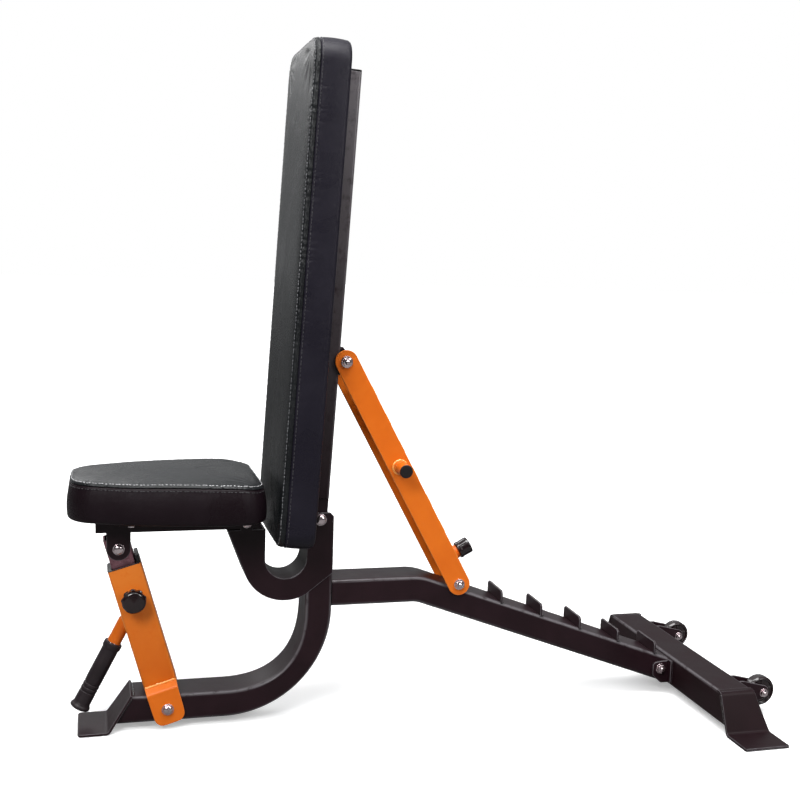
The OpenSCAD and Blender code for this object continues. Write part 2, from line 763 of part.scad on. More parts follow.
module strut_lug() {
  color("#1c1c1e") on_back() difference() {
    for (s = [-1, 1]) side_plate(s * (half_w - lug_t / 2 - 2), lug_t) union() {
      translate([strut_u, -strut_v]) circle(14);
      translate([strut_u - 26, back_rear - 4]) square([52, 4]);
      polygon([[strut_u - 26, back_rear - 4], [strut_u - 12, -strut_v - 7], [strut_u + 12, -strut_v - 7], [strut_u + 26, back_rear - 4]]);
    }
    translate([strut_u, 0, -strut_v]) rod_y(bolt_r, tube_w + 4);
    translate([strut_u - 60, -half_w, back_rear]) cube([120, tube_w, 40]);
  }
}

strut_t = 5;
strut_y = half_w + side_gap + strut_t / 2;

module strut_top_bolt() {
  color("silver") on_back() translate([strut_u, 0, -strut_v]) cross_bolt(bolt_r, head_r, strut_y + strut_t / 2 + 0.5);
}

module back_plan(grow) {
  r = 34;
  hull() {
    for (s = [-1, 1]) {
      translate([-back_down - grow + r, s * (back_half + grow - r)]) circle(r, $fn = 32);
      translate([back_up + grow - r, s * (back_half + grow - r)]) circle(r, $fn = 32);
    }
  }
}

module back_board() {
  color("#b08a5a") on_back() difference() {
    translate([0, 0, back_board_v]) linear_extrude(board_t) back_plan(-8);
    for (u = screw_u) translate([u, 0, back_board_v - 1]) cylinder(r = 3, h = board_t + 2);
  }
}

module back_cushion() {
  color("#202022") on_back() difference() {
    hull() {
      translate([0, 0, back_board_v + 1]) linear_extrude(back_thick - 22) back_plan(0);
      translate([0, 0, back_board_v + back_thick - 9]) linear_extrude(1) back_plan(-8);
      translate([0, 0, back_board_v + back_thick - 1]) linear_extrude(1) back_plan(-34);
    }
    translate([0, 0, back_board_v - 1]) linear_extrude(board_t + 1) back_plan(-8);
  }
}

module back_screws() {
  color("silver") on_back() for (u = screw_u) translate([u, 0, 0]) union() {
    translate([0, 0, back_board_v - tube_wall - 4]) cylinder(r = 6.5, h = 4);
    translate([0, 0, back_board_v - tube_wall - 1]) cylinder(r = 3, h = tube_wall + board_t);
  }
}

/* ---- back strut: its own frame has X from the top bolt to the foot pin and Z behind it ---- */

top_x = strut_u * cos(back_angle) + strut_v * sin(back_angle);
top_z = back_hinge_z + strut_u * sin(back_angle) - strut_v * cos(back_angle);
strut_l = sqrt(pow(foot_pin_x - top_x, 2) + pow(top_z - foot_pin_z, 2));
strut_fall = atan((top_z - foot_pin_z) / (foot_pin_x - top_x));

module on_strut() { translate([top_x, 0, top_z]) rotate([0, strut_fall, 0]) children(); }

web_from = 60;
web_to = strut_l - 30;
web_v = strut_w / 2 - strut_t;
stub_at = strut_l * 0.46;
rod_at = strut_l * 0.26;
knob_at = strut_l - 43;

module strut_plate(side) {
  color("#d96f20") on_strut() difference() {
    side_plate(side * strut_y, strut_t) union() {
      circle(strut_w / 2);
      translate([strut_l, 0]) circle(strut_w / 2);
      translate([0, -strut_w / 2]) square([strut_l, strut_w]);
    }
    rod_y(bolt_r + run_gap, 200);
    translate([strut_l, 0, 0]) rod_y(foot_pin_r, 200);
  }
}

module strut_web() {
  w = 2 * (strut_y - strut_t / 2);
  color("#d96f20") on_strut() difference() {
    translate([web_from, -w / 2, web_v]) cube([web_to - web_from, w, strut_t]);
    translate([knob_at, 0, 0]) cylinder(r = pin_r + run_gap, h = 40);
  }
}

module strut_cross_rod() {
  color("#1c1c1e") on_strut() translate([rod_at, 0, 0]) rod_y(8, 2 * (strut_y - strut_t / 2));
}

module strut_foot_pin() {
  color("silver") on_strut() translate([strut_l, 0, 0]) cross_bolt(foot_pin_r, 10.5, strut_y + strut_t / 2);
}

stub_l = 44;

module strut_handles() {
  face = strut_y + strut_t / 2;
  color("#d96f20") on_strut() translate([stub_at, 0, 0]) for (s = [-1, 1]) translate([0, s * (face + stub_l / 2), 0])
    difference() {
      rod_y(12, stub_l);
      rod_y(10, stub_l + 2);
    }
}

module strut_handle_caps() {
  face = strut_y + strut_t / 2;
  color("#151517") on_strut() translate([stub_at, 0, 0]) for (s = [-1, 1]) mirror([0, s < 0 ? 1 : 0, 0])
    translate([0, face + stub_l, 0]) rotate([-90, 0, 0]) union() {
      translate([0, 0, -14]) cylinder(r = 9.9, h = 14);
      cylinder(r = 12.4, h = 3);
    }
}

strut_barrel_l = 12;

module strut_knob_barrel() {
  color("#d96f20") on_strut() translate([knob_at, 0, web_v + strut_t]) difference() {
    cylinder(r = 13, h = strut_barrel_l);
    translate([0, 0, -1]) cylinder(r = pin_r + run_gap, h = strut_barrel_l + 2);
  }
}

strut_knob_l = 27;

module strut_knob() {
  color("#151517") on_strut() translate([knob_at, 0, web_v + strut_t + strut_barrel_l + 0.5]) difference() {
    rotate_extrude() polygon([[pin_r, 0], [15, 0], [16.5, 2], [16.5, 6], [15.5, 8], [15.5, strut_knob_l - 5],
      [13, strut_knob_l - 1.5], [8, strut_knob_l], [0, strut_knob_l], [0, 14], [pin_r, 14]]);
  }
}

module strut_knob_pin() {
  color("silver") on_strut() translate([knob_at, 0, 9])
    cylinder(r = pin_r, h = web_v + strut_t + strut_barrel_l + 0.5 + 14 - 9);
}

placed() lower_tube();
placed() hook_side(half_w - plate_t / 2);  // hook_side_left
placed() hook_side(-half_w + plate_t / 2);  // hook_side_right
placed() hook_inner_liner();
placed() hook_outer_liner();
placed() upright_rear_liner();
placed() rear_beam();
placed() front_foot();
placed() low_rib();
placed() catch_plate(1);  // catch_1
placed() catch_plate(2);  // catch_2
placed() catch_plate(3);  // catch_3
placed() catch_plate(4);  // catch_4
placed() catch_plate(5);  // catch_5
placed() rear_foot_beam();
placed() rear_foot_plate(1);  // rear_foot_plate_left
placed() rear_foot_plate(-1);  // rear_foot_plate_right
placed() foot_bracket();
placed() foot_bracket_bolts();
placed() wheel_brackets();
placed() wheel_axles();
placed() wheel(1);  // wheel_left
placed() wheel(-1);  // wheel_right
placed() post_pivot_bolt();
placed() seat_hinge_bolt();
placed() back_hinge_bolt();
placed() post_tube();
placed() post_ear(1);  // post_ear_left
placed() post_ear(-1);  // post_ear_right
placed() post_insert();
placed() post_handle();
placed() handle_grip();
placed() seat_knob_barrel();
placed() inner_bar();
placed() seat_knob();
placed() seat_knob_pin();
placed() seat_frame();
placed() seat_clevis();
placed() clevis_bolt();
placed() seat_board();
placed() seat_cushion();
placed() seat_screws();
placed() back_frame();
placed() back_brackets();
placed() strut_lug();
placed() strut_top_bolt();
placed() back_board();
placed() back_cushion();
placed() back_screws();
placed() strut_plate(1);  // strut_plate_left
placed() strut_plate(-1);  // strut_plate_right
placed() strut_web();
placed() strut_cross_rod();
placed() strut_foot_pin();
placed() strut_handles();
placed() strut_handle_caps();
placed() strut_knob_barrel();
placed() strut_knob();
placed() strut_knob_pin();
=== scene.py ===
"""An adjustable weight bench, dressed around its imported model.

Each visible piece is a surface worked out with numpy in millimetres, in the terms of its own place (the bench, the
seat post, the backrest or the strut), and then put into the part's frame in metres.
"""

import math

import bmesh
import bpy
import numpy as np
from mathutils import Matrix, Vector
from mathutils.geometry import tessellate_polygon


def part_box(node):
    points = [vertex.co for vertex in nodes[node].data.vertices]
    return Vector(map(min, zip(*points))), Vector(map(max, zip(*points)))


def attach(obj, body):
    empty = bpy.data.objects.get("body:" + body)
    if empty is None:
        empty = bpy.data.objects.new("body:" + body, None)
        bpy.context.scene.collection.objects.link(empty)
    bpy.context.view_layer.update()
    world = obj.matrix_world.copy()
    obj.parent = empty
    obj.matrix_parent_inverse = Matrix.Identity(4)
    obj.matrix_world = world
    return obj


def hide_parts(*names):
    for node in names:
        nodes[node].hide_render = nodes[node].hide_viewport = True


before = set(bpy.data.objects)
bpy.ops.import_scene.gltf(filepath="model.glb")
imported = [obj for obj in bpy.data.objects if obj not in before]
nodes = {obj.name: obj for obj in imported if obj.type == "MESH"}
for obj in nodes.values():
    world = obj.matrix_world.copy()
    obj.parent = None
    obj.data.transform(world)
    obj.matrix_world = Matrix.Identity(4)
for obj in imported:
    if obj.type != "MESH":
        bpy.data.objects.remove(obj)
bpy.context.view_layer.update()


# ---------------------------------------------------------------- places

class Place:
    """A place for a piece: own millimetres go to metres in the part's frame, along three axes from an origin."""

    def __init__(self, origin, ex, ey, ez):
        self.origin = np.array(origin, float)
        self.axes = np.array([ex, ey, ez], float)

    def __call__(self, points):
        return self.origin + np.asarray(points, float) @ self.axes * 0.001

    def at(self, x, y, z, ex=(1, 0, 0), ey=(0, 1, 0), ez=(0, 0, 1)):
        """A place inside this one, with its origin at x, y, z and its axes given in this one's terms."""
        turned = [np.asarray(a, float) @ self.axes for a in (ex, ey, ez)]
        return Place(self((x, y, z)), *turned)

    def turned(self, x, z, degrees):
        """A place at x, z, turned about Y, so that X tips down by the angle."""
        c, s = math.cos(math.radians(degrees)), math.sin(math.radians(degrees))
        return self.at(x, 0, z, ex=(c, 0, -s), ez=(s, 0, c))

    def facing(self, x, y, z, side=1):
        """A place whose Z looks along this one's Y, or against it where side is -1, for what is turned."""
        return self.at(x, y, z, ey=(0, 0, -side), ez=(0, side, 0))


# The part's measures in millimetres and degrees. The bench's X starts at the backrest's hinge and runs rearwards.
TUBE_H, TUBE_W, HALF_W, TUBE_R, WALL = 50.0, 80.0, 40.0, 6.5, 2.5
TUBE_MID, TUBE_TOP = 39.0, 64.0
PLATE_T, THICK_PLATE = 4.0, 5.0
SEAT_HINGE = (-137.0, 381.0)
POST_X, CLEVIS = -276.0, (-363.0, 336.0)
POST_LEAN = math.degrees(math.atan2(POST_X - CLEVIS[0], CLEVIS[1] - TUBE_MID))
BACK_HINGE_Z, BACK_ANGLE = 382.0, 87.0
STRUT_U, STRUT_V = 295.7, 24.5
FOOT_PIN, STRUT_KNOB = (272.0, 249.0), 443.0
HANDLE_ROOT, HANDLE_ANGLE = 168.0, 27.0
# How near its axis a turned profile starts and ends.
AXIS = 0.01

hinge_low, hinge_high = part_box("back_hinge_bolt")
bench = Place((((hinge_low + hinge_high) / 2).x, 0, 0), (1, 0, 0), (0, 1, 0), (0, 0, 1))
end_on = bench.at(0, 0, 0, ex=(0, 1, 0), ey=(1, 0, 0))
post = bench.turned(POST_X, TUBE_MID, -POST_LEAN)
back = bench.turned(0, BACK_HINGE_Z, -BACK_ANGLE)
back_c, back_s = math.cos(math.radians(BACK_ANGLE)), math.sin(math.radians(BACK_ANGLE))
STRUT_TOP = (STRUT_U * back_c + STRUT_V * back_s, BACK_HINGE_Z + STRUT_U * back_s - STRUT_V * back_c)
STRUT_L = math.hypot(FOOT_PIN[0] - STRUT_TOP[0], STRUT_TOP[1] - FOOT_PIN[1])
STRUT_FALL = math.degrees(math.atan2(STRUT_TOP[1] - FOOT_PIN[1], FOOT_PIN[0] - STRUT_TOP[0]))
strut = bench.turned(STRUT_TOP[0], STRUT_TOP[1], STRUT_FALL)
handle = post.at(-30, 0, HANDLE_ROOT).turned(0, 0, 180 + POST_LEAN + HANDLE_ANGLE)


# ---------------------------------------------------------------- shells

class Shell:
    """The faces of one piece, gathered from grids and flat caps, with an edge value from 0 to 1 for wear and a painted
    highlight along rims.
    """

    def __init__(self):
        self.points, self.edges, self.faces, self.count = [], [], [], 0

    def _add(self, points, edge):
        points = np.asarray(points, float).reshape(-1, 3)
        self.points.append(points)
        self.edges.append(np.broadcast_to(np.asarray(edge, float).reshape(-1), (len(points),)))
        first = self.count
        self.count += len(points)
        return first

    def grid(self, points, wrap_u=False, wrap_v=False, edge=0.0):
        """points[u, v] is a grid of places, and each of its cells is a face. A wrapped way joins end to start."""
        nu, nv = points.shape[:2]
        if np.ndim(edge):
            edge = np.broadcast_to(edge, (nu, nv))
        index = self._add(points, edge) + np.arange(nu * nv).reshape(nu, nv)
        if wrap_u:
            index = np.concatenate([index, index[:1]], 0)
        if wrap_v:
            index = np.concatenate([index, index[:, :1]], 1)
        quads = np.stack([index[:-1, :-1], index[1:, :-1], index[1:, 1:], index[:-1, 1:]], -1)
        self.faces += quads.reshape(-1, 4).tolist()

    def cap(self, loops):
        """A flat face with an outline and holes, split into triangles. Each loop is a ring of places."""
        flat = np.concatenate([np.asarray(ring, float) for ring in loops])
        first = self._add(flat, 0.0)
        scaled = [[Vector(p * 1000.0) for p in ring] for ring in loops]
        self.faces += [[first + i for i in tri] for tri in tessellate_polygon(scaled)]

    def end_rings(self, outer, inner):
        """Closes both ends between an outer and an inner wall, which are grids of places."""
        for end in (0, -1):
            self.cap([outer[end], inner[end]])


def piece(name, shell, look, body, *stands_for, slot=None, sharp=40.0, weld=2e-6):
    """Makes the object of a shell: doubles merged, faces outwards, smooth but for edges over the sharp angle. Its slot
    argument is not used."""
    mesh = bpy.data.meshes.new(name)
    mesh.from_pydata(np.concatenate(shell.points).tolist(), [], shell.faces)
    edge = mesh.attributes.new("edge", "FLOAT", "POINT")
    edge.data.foreach_set("value", np.concatenate(shell.edges).astype(np.float32))
    bm = bmesh.new()
    bm.from_mesh(mesh)
    bmesh.ops.remove_doubles(bm, verts=bm.verts, dist=weld)
    bmesh.ops.dissolve_degenerate(bm, edges=bm.edges, dist=1e-7)
    bmesh.ops.recalc_face_normals(bm, faces=bm.faces)
    bm.to_mesh(mesh)
    bm.free()
    mesh.shade_smooth()
    mesh.set_sharp_from_angle(angle=math.radians(sharp))
    mesh.materials.append(look)
    obj = bpy.data.objects.new(name, mesh)
    bpy.context.scene.collection.objects.link(obj)
    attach(obj, body)
    if stands_for:
        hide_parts(*stands_for)
    return obj


# ---------------------------------------------------------------- lines, plates, sheets, tubes and beads

def arc(cx, cz, r, start, end, n=16):
    """Points on a circle of radius r about (cx, cz), from the start to the end angle in degrees."""
    t = np.radians(np.linspace(start, end, n + 1))
    return np.stack([cx + r * np.cos(t), cz + r * np.sin(t)], 1)


def fillet(before, corner, after, r, n):
    """An arc of radius r in n steps that touches the lines from a corner to the points before and after it."""
    a, b = before - corner, after - corner
    a, b = a / np.linalg.norm(a), b / np.linalg.norm(b)
    half = math.acos(np.clip(a @ b, -1, 1)) / 2
    centre = corner + (a + b) / np.linalg.norm(a + b) * r / math.sin(half)
    first, last = corner + a * r / math.tan(half) - centre, corner + b * r / math.tan(half) - centre
    start = math.atan2(first[1], first[0])
    turn = (math.atan2(last[1], last[0]) - start + math.pi) % (2 * math.pi) - math.pi
    t = start + turn * np.linspace(0, 1, n + 1)
    return centre + r * np.stack([np.cos(t), np.sin(t)], 1)


def rounded(corners, n=6):
    """A closed outline through corners (x, z, r), each rounded to its radius."""
    pts = np.array([c[:2] for c in corners], float)
    out = [fillet(pts[i - 1], pts[i], pts[(i + 1) % len(pts)], c[2], n) if c[2] > 0 else pts[i][None]
           for i, c in enumerate(corners)]
    return np.concatenate(out)


def line_through(corners, n=4):
    """An open line through corners (a, b, r), with each inner corner rounded and the straight runs left whole."""
    pts = np.array([c[:2] for c in corners], float)
    out = [pts[:1]]
    for i in range(1, len(pts) - 1):
        r = corners[i][2]
        out.append(fillet(pts[i - 1], pts[i], pts[i + 1], r, n) if r > 0 else pts[i][None])
    return np.concatenate(out + [pts[-1:]])


def so_far(points):
    """The length of a line up to each of its points."""
    return np.concatenate([[0], np.cumsum(np.linalg.norm(np.diff(points, axis=0), axis=1))])


def thinned(loop, gap=0.02):
    """The loop without points that lie on the one before them."""
    keep = np.linalg.norm(loop - np.roll(loop, 1, 0), axis=1) > gap
    return loop[keep]


def inward(loop):
    """For each point of a closed loop, the step that moves it 1 mm off both its sides, to the loop's left."""
    ahead = np.roll(loop, -1, 0) - loop
    ahead /= np.linalg.norm(ahead, axis=1)[:, None]
    left = np.stack([-ahead[:, 1], ahead[:, 0]], 1)
    both = left + np.roll(left, 1, 0)
    both /= np.linalg.norm(both, axis=1)[:, None]
    return both / np.clip((both * left).sum(1), 0.35, 1)[:, None]


def edge_profile(t, bevel, hold=0.35, n=4):
    """The wall of a plate t thick with rounded rims: steps inwards, heights, and which steps are on a rim."""
    a = np.linspace(0, math.pi / 2, n + 1)
    step = bevel * (1 - np.sin(a))
    rise = t / 2 - bevel * (1 - np.cos(a))
    step = np.concatenate([[bevel + hold], step, [0.0]])
    rise = np.concatenate([[t / 2], rise, [rise[-1] - min(hold, rise[-1] * 0.5)]])
    rim = np.concatenate([[0.0], np.ones(n + 1), [0.0]])
    return np.concatenate([step, step[::-1]]), np.concatenate([rise, -rise[::-1]]), np.concatenate([rim, rim[::-1]])


def plate(shell, place, loops, y, t, bevel=0.9):
    """A plate t thick about y, whose outline lies in X and Z. The first loop is its outline, and the rest are
    holes. Each loop's wall is the rim profile carried round it, stepped inwards into the metal."""
    step, rise, rim = edge_profile(t, bevel)
    tops, bottoms = [], []
    for k, loop in enumerate(loops):
        loop = thinned(np.asarray(loop, float))
        area = (loop[:, 0] * np.roll(loop[:, 1], -1) - np.roll(loop[:, 0], -1) * loop[:, 1]).sum()
        if (area < 0) == (k == 0):
            loop = loop[::-1]
        flat = loop[:, None] + inward(loop)[:, None] * step[None, :, None]
        points = np.stack([flat[..., 0], np.broadcast_to(y + rise, flat.shape[:2]), flat[..., 1]], -1)
        points = place(points)
        shell.grid(points, wrap_u=True, edge=rim[None, :])
        tops.append(points[:, 0])
        bottoms.append(points[:, -1])
    shell.cap(tops)
    shell.cap(bottoms)


def rect_section(h, w, r, n=6, hold=0.5):
    """A rounded rectangle, h by w, as points with their outward steps, and which of them are on a corner."""
    pts, out, rim = [], [], []
    for cx, cy, start in ((1, 1, 0), (-1, 1, 90), (-1, -1, 180), (1, -1, 270)):
        a = np.radians(np.linspace(start, start + 90, n + 1))
        way = np.stack([np.cos(a), np.sin(a)], 1)
        corner = np.array([cx * (h / 2 - r), cy * (w / 2 - r)]) + r * way
        before, after = np.array([way[0][1], -way[0][0]]) * hold, np.array([-way[-1][1], way[-1][0]]) * hold
        pts += [corner[:1] + before, corner, corner[-1:] + after]
        out += [way[:1], way, way[-1:]]
        # The rim value peaks mid-corner, so that the lighter rim colour paints a thin highlight line along each rounded
        # edge, as well as wear.
        rim += [np.zeros(1), np.sin(np.linspace(0, math.pi, n + 1)) ** 1.5, np.zeros(1)]
    return np.concatenate(pts), np.concatenate(out), np.concatenate(rim)


def straight(a, b, n=1):
    """A straight path from a to b, n steps long."""
    return np.array(a, float) + np.linspace(0, 1, n + 1)[:, None] * (np.array(b, float) - np.array(a, float))


def sides_of(path):
    """The direction to the left of an open path at each of its points."""
    ahead = np.gradient(path, axis=0)
    ahead /= np.linalg.norm(ahead, axis=1)[:, None]
    return np.stack([-ahead[:, 1], ahead[:, 0]], 1)


def smooth_path(corners, step=2.0):
    """The line through corners (a, b, r), evenly stepped, and its length up to each point."""
    pts = line_through(corners, 8)
    length = so_far(pts)
    even = np.linspace(0, length[-1], max(2, int(round(length[-1] / step))) + 1)
    return np.stack([np.interp(even, length, pts[:, k]) for k in (0, 1)], 1), even


def strip(shell, lay, path, t, low, high, bevel=0.9, end_bevel=0.8):
    """A bent sheet t thick. Its path lies in a plane, and at each step it reaches from low to high across it.
    Its section is a rounded rectangle, and lay(a, b, c) puts a point with path coordinates a, b and c across."""
    left = sides_of(path)
    pts, out, rim = rect_section(t, 10.0, bevel, n=3, hold=0.3)
    mid, half = (low + high) / 2, (high - low) / 2
    ahead = np.stack([left[:, 1], -left[:, 0]], 1)
    order = np.concatenate([[0, 0], np.arange(len(path)), [len(path) - 1, len(path) - 1]])
    inset = np.zeros(len(order))
    inset[[0, -1]] = end_bevel
    inset[[1, -2]] = end_bevel * 0.29
    slide = np.zeros(len(order))
    slide[1], slide[2] = 0.29 * end_bevel, end_bevel
    slide[-2], slide[-3] = -0.29 * end_bevel, -end_bevel
    off = pts[None, :, 0] - inset[:, None] * out[None, :, 0]
    side = np.sign(pts[:, 1])[None] * half[order][:, None] + (pts[:, 1] - np.sign(pts[:, 1]) * 5.0)[None]
    side = side - inset[:, None] * out[None, :, 1] + mid[order][:, None]
    base = path[order] + ahead[order] * slide[:, None]
    flat = base[:, None] + left[order][:, None] * off[..., None]
    points = lay(flat[..., 0], flat[..., 1], side)
    rims = np.broadcast_to(rim[None], points.shape[:2]).copy()
    rims[:3] = rims[-3:] = 1.0
    shell.grid(points, wrap_v=True, edge=rims)
    shell.cap([points[0]])
    shell.cap([points[-1]])


def wall(shell, place, section, levels, insets, rims=True):
    """A wall along Z: a section at each level, stepped in by the level's inset. With rims, its corners and its last
    three levels carry the edge value, for wear and a painted highlight."""
    pts, out, rim = section
    flat = pts[None] - np.array(insets)[:, None, None] * out[None]
    z = np.broadcast_to(np.array(levels)[:, None], flat.shape[:2])
    points = place(np.stack([flat[..., 0], flat[..., 1], z], -1))
    edge = np.broadcast_to(rim[None], points.shape[:2]).copy() if rims else 0.0
    if rims:
        edge[-3:] = 1
    shell.grid(points, wrap_v=True, edge=edge)
    return points


def box_tube(shell, place, h, w, r, low, high, hold, ease):
    """A straight tube, h by w, with its hollow, from low to high along Z. Its mouths are rounded over two steps."""
    walls = []
    for shrink in (0.0, WALL):
        section = rect_section(h - 2 * shrink, w - 2 * shrink, r - shrink, hold=hold)
        insets = np.array([0.5, 0.15, 0.0, 0.0, 0.15, 0.5]) * (1 if shrink == 0 else -1)
        levels = [low, low + ease[0], low + ease[1], high - ease[1], high - ease[0], high]
        walls.append(wall(shell, place, section, levels, insets))
    shell.end_rings(*walls)


def lathe(shell, place, profile, n=48, radius=None):
    """A turned piece: the profile's (r, z) points are carried round Z. Where radius is given, it is a function
    of the angle and the profile's points that multiplies r, for lobes and hexagons. Ends on the axis close."""
    profile = np.asarray(profile, float)
    a = np.linspace(0, 2 * math.pi, n, endpoint=False)
    r = np.broadcast_to(profile[None, :, 0], (n, len(profile)))
    if radius is not None:
        r = r * radius(a[:, None], profile[None, :, 0], profile[None, :, 1])
    z = np.broadcast_to(profile[None, :, 1], r.shape)
    points = np.stack([r * np.cos(a)[:, None], r * np.sin(a)[:, None], z], -1)
    shell.grid(place(points), wrap_u=True)


def lathed(name, look, body, stands_for, place, corners, n=4, around=48):
    """A turned piece of its own, from its profile's corners."""
    shell = Shell()
    lathe(shell, place, line_through(corners, n), around)
    return piece(name, shell, look, body, *stands_for)


def bead(places, out, r, pitch=2.2, seed=1, sink=0.25):
    """A weld bead along a line of places: a tube of radius r whose rings swell once every pitch, like laid
    coins, a little unevenly. out is the direction it stands in, and the ends close."""
    rng = np.random.default_rng(seed)
    places = np.asarray(places, float)
    length = so_far(places)
    n = max(8, int(length[-1] / pitch * 5))
    s = np.linspace(0, length[-1], n)
    line = np.stack([np.interp(s, length, places[:, k]) for k in range(3)], 1)
    ahead = np.gradient(line, axis=0)
    ahead /= np.linalg.norm(ahead, axis=1)[:, None]
    out = np.asarray(out, float) / np.linalg.norm(out)
    side = np.cross(ahead, out)
    side /= np.linalg.norm(side, axis=1)[:, None]
    coins = int(length[-1] / pitch) + 2
    coin = np.interp(s / pitch, np.arange(coins), rng.uniform(0.85, 1.15, coins))
    swell = r * coin * (0.82 + 0.18 * np.abs(np.sin(math.pi * s / pitch)))
    swell *= np.clip(np.minimum(s, length[-1] - s) / (r * 1.2), 0, 1) ** 0.5
    a = np.linspace(0, 2 * math.pi, 10, endpoint=False)
    ring = side[:, None] * (np.cos(a) * 1.25)[None, :, None] + out * (np.sin(a) - sink)[None, :, None]
    return line[:, None] + ring * swell[:, None, None]


def add_bead(shell, place, places, out, r, **more):
    """Puts a bead, worked out in the place's own millimetres, into the shell."""
    shell.grid(place(bead(places, out, r, **more)), wrap_v=True)


# ---------------------------------------------------------------- materials

def add(tree, kind, inputs=(), **settings):
    """A node with its settings and inputs. An input is a value or another node's output."""
    node = tree.nodes.new(kind)
    for key, value in settings.items():
        setattr(node, key, value)
    for key, value in dict(inputs).items():
        if isinstance(value, bpy.types.NodeSocket):
            tree.links.new(value, node.inputs[key])
        else:
            node.inputs[key].default_value = value
    return node


def math_node(tree, operation, a, b=0.0, clamp=False):
    return add(tree, "ShaderNodeMath", {0: a, 1: b}, operation=operation, use_clamp=clamp).outputs[0]


def ramp(tree, value, low, high, to_low=0.0, to_high=1.0):
    """A smooth step of a value from low to high."""
    node = add(tree, "ShaderNodeMapRange", {"Value": value, "From Min": low, "From Max": high,
                                            "To Min": to_low, "To Max": to_high}, interpolation_type="SMOOTHSTEP")
    return node.outputs["Result"]


def noise(tree, where, scale, detail=2.0, rough=0.5, distortion=0.0):
    return add(tree, "ShaderNodeTexNoise", {"Vector": where, "Scale": scale, "Detail": detail,
                                            "Roughness": rough, "Distortion": distortion}).outputs["Fac"]


def node_group(name, inputs, outputs, build):
    """A group of nodes with the place as its first input. build gives its outputs, in order."""
    tree = bpy.data.node_groups.new(name, "ShaderNodeTree")
    tree.interface.new_socket(name="Where", in_out="INPUT", socket_type="NodeSocketVector")
    for key, value in inputs.items():
        kind = "NodeSocketVector" if isinstance(value, tuple) else "NodeSocketFloat"
        tree.interface.new_socket(name=key, in_out="INPUT", socket_type=kind).default_value = value
    for key in outputs:
        tree.interface.new_socket(name=key, in_out="OUTPUT", socket_type="NodeSocketFloat")
    given, out = tree.nodes.new("NodeGroupInput").outputs, tree.nodes.new("NodeGroupOutput")
    for key, value in zip(outputs, build(tree, given["Where"], given)):
        tree.links.new(value, out.inputs[key])
    return tree


def build_coat(tree, where, given):
    """Powder coat: a fine orange peel with grit, and broad clouds of colour and gloss."""
    peel = noise(tree, where, 620.0, 3.0, 0.55)
    grit = noise(tree, where, 1900.0, 2.0, 0.7)
    height = math_node(tree, "ADD", math_node(tree, "MULTIPLY", peel, given["Peel"]),
                       math_node(tree, "MULTIPLY", grit, given["Grit"]))
    return height, noise(tree, where, 14.0, 4.0, 0.55, 0.4)


def build_wear(tree, where, given):
    """Wear and a painted highlight on rims: the piece's edge value, broken up by scuffs, and dust that gathers on what
    looks up.
    """
    edge = add(tree, "ShaderNodeAttribute", attribute_name="edge").outputs["Fac"]
    broken = ramp(tree, noise(tree, where, 60.0, 3.0, 0.6, 0.2), 0.15, 0.5)
    rim = math_node(tree, "MULTIPLY", math_node(tree, "MULTIPLY", edge, broken), given["Amount"], True)
    stretched = add(tree, "ShaderNodeMapping", {"Vector": where, "Scale": (1.0, 1.0, 6.0), "Rotation": (0.5, 0.3, 0.0)})
    scuffs = ramp(tree, noise(tree, stretched.outputs[0], 55.0, 6.0, 0.75, 0.8), 0.66, 0.74)
    up = add(tree, "ShaderNodeSeparateXYZ", {0: add(tree, "ShaderNodeNewGeometry").outputs["Normal"]}).outputs["Z"]
    dust = math_node(tree, "MULTIPLY", ramp(tree, up, 0.5, 1.0), noise(tree, where, 40.0, 4.0, 0.6))
    return rim, scuffs, dust


def build_grain(tree, where, given):
    """Upholstery grain: pebbles with creases between them, pores, and soft clouds."""
    wobble = add(tree, "ShaderNodeTexNoise", {"Vector": where, "Scale": 300.0, "Detail": 2.0}).outputs["Color"]
    push = add(tree, "ShaderNodeVectorMath", {0: wobble, 1: (0.0012,) * 3}, operation="MULTIPLY").outputs[0]
    pushed = add(tree, "ShaderNodeVectorMath", {0: where, 1: push}, operation="ADD").outputs[0]
    cells = add(tree, "ShaderNodeTexVoronoi", {"Vector": pushed, "Scale": given["Pebbles per metre"]},
                feature="DISTANCE_TO_EDGE").outputs["Distance"]
    pores = math_node(tree, "MULTIPLY", noise(tree, where, 2400.0, 2.0), 0.25)
    height = math_node(tree, "ADD", ramp(tree, cells, 0.0, 0.4), pores)
    return height, ramp(tree, cells, 0.0, 0.16, 1.0, 0.0), noise(tree, where, 9.0, 3.0, 0.5, 0.5)


def build_bright(tree, where, given):
    """Drawn or plated metal: fine lines along one way, clouds, and pits."""
    drawn = add(tree, "ShaderNodeVectorMath", {0: where, 1: given["Lines"]}, operation="MULTIPLY").outputs[0]
    pits = ramp(tree, noise(tree, where, 900.0, 2.0, 0.6), 0.68, 0.76)
    return noise(tree, drawn, 2600.0, 3.0, 0.6), noise(tree, where, 90.0, 4.0, 0.6, 0.6), pits


COAT = node_group("Powder coat", {"Peel": 0.6, "Grit": 0.4}, ["Height", "Clouds"], build_coat)
# Its Rim output lightens rims for wear and as a painted highlight along rounded edges.
WEAR = node_group("Rim wear", {"Amount": 0.5}, ["Rim", "Scuffs", "Dust"], build_wear)
GRAIN = node_group("Vinyl grain", {"Pebbles per metre": 620.0}, ["Height", "Crease", "Clouds"], build_grain)
BRIGHT = node_group("Bright metal", {"Lines": (1.0, 1.0, 0.03)}, ["Height", "Clouds", "Pits"], build_bright)


def blank(name):
    """A material with only its Principled shader, its tree, and the piece's own coordinates."""
    look = bpy.data.materials.new(name)
    look.use_nodes = True
    tree = look.node_tree
    shader = next(n for n in tree.nodes if n.type == "BSDF_PRINCIPLED")
    where = tree.nodes.new("ShaderNodeTexCoord").outputs["Object"]
    return look, tree, shader, where


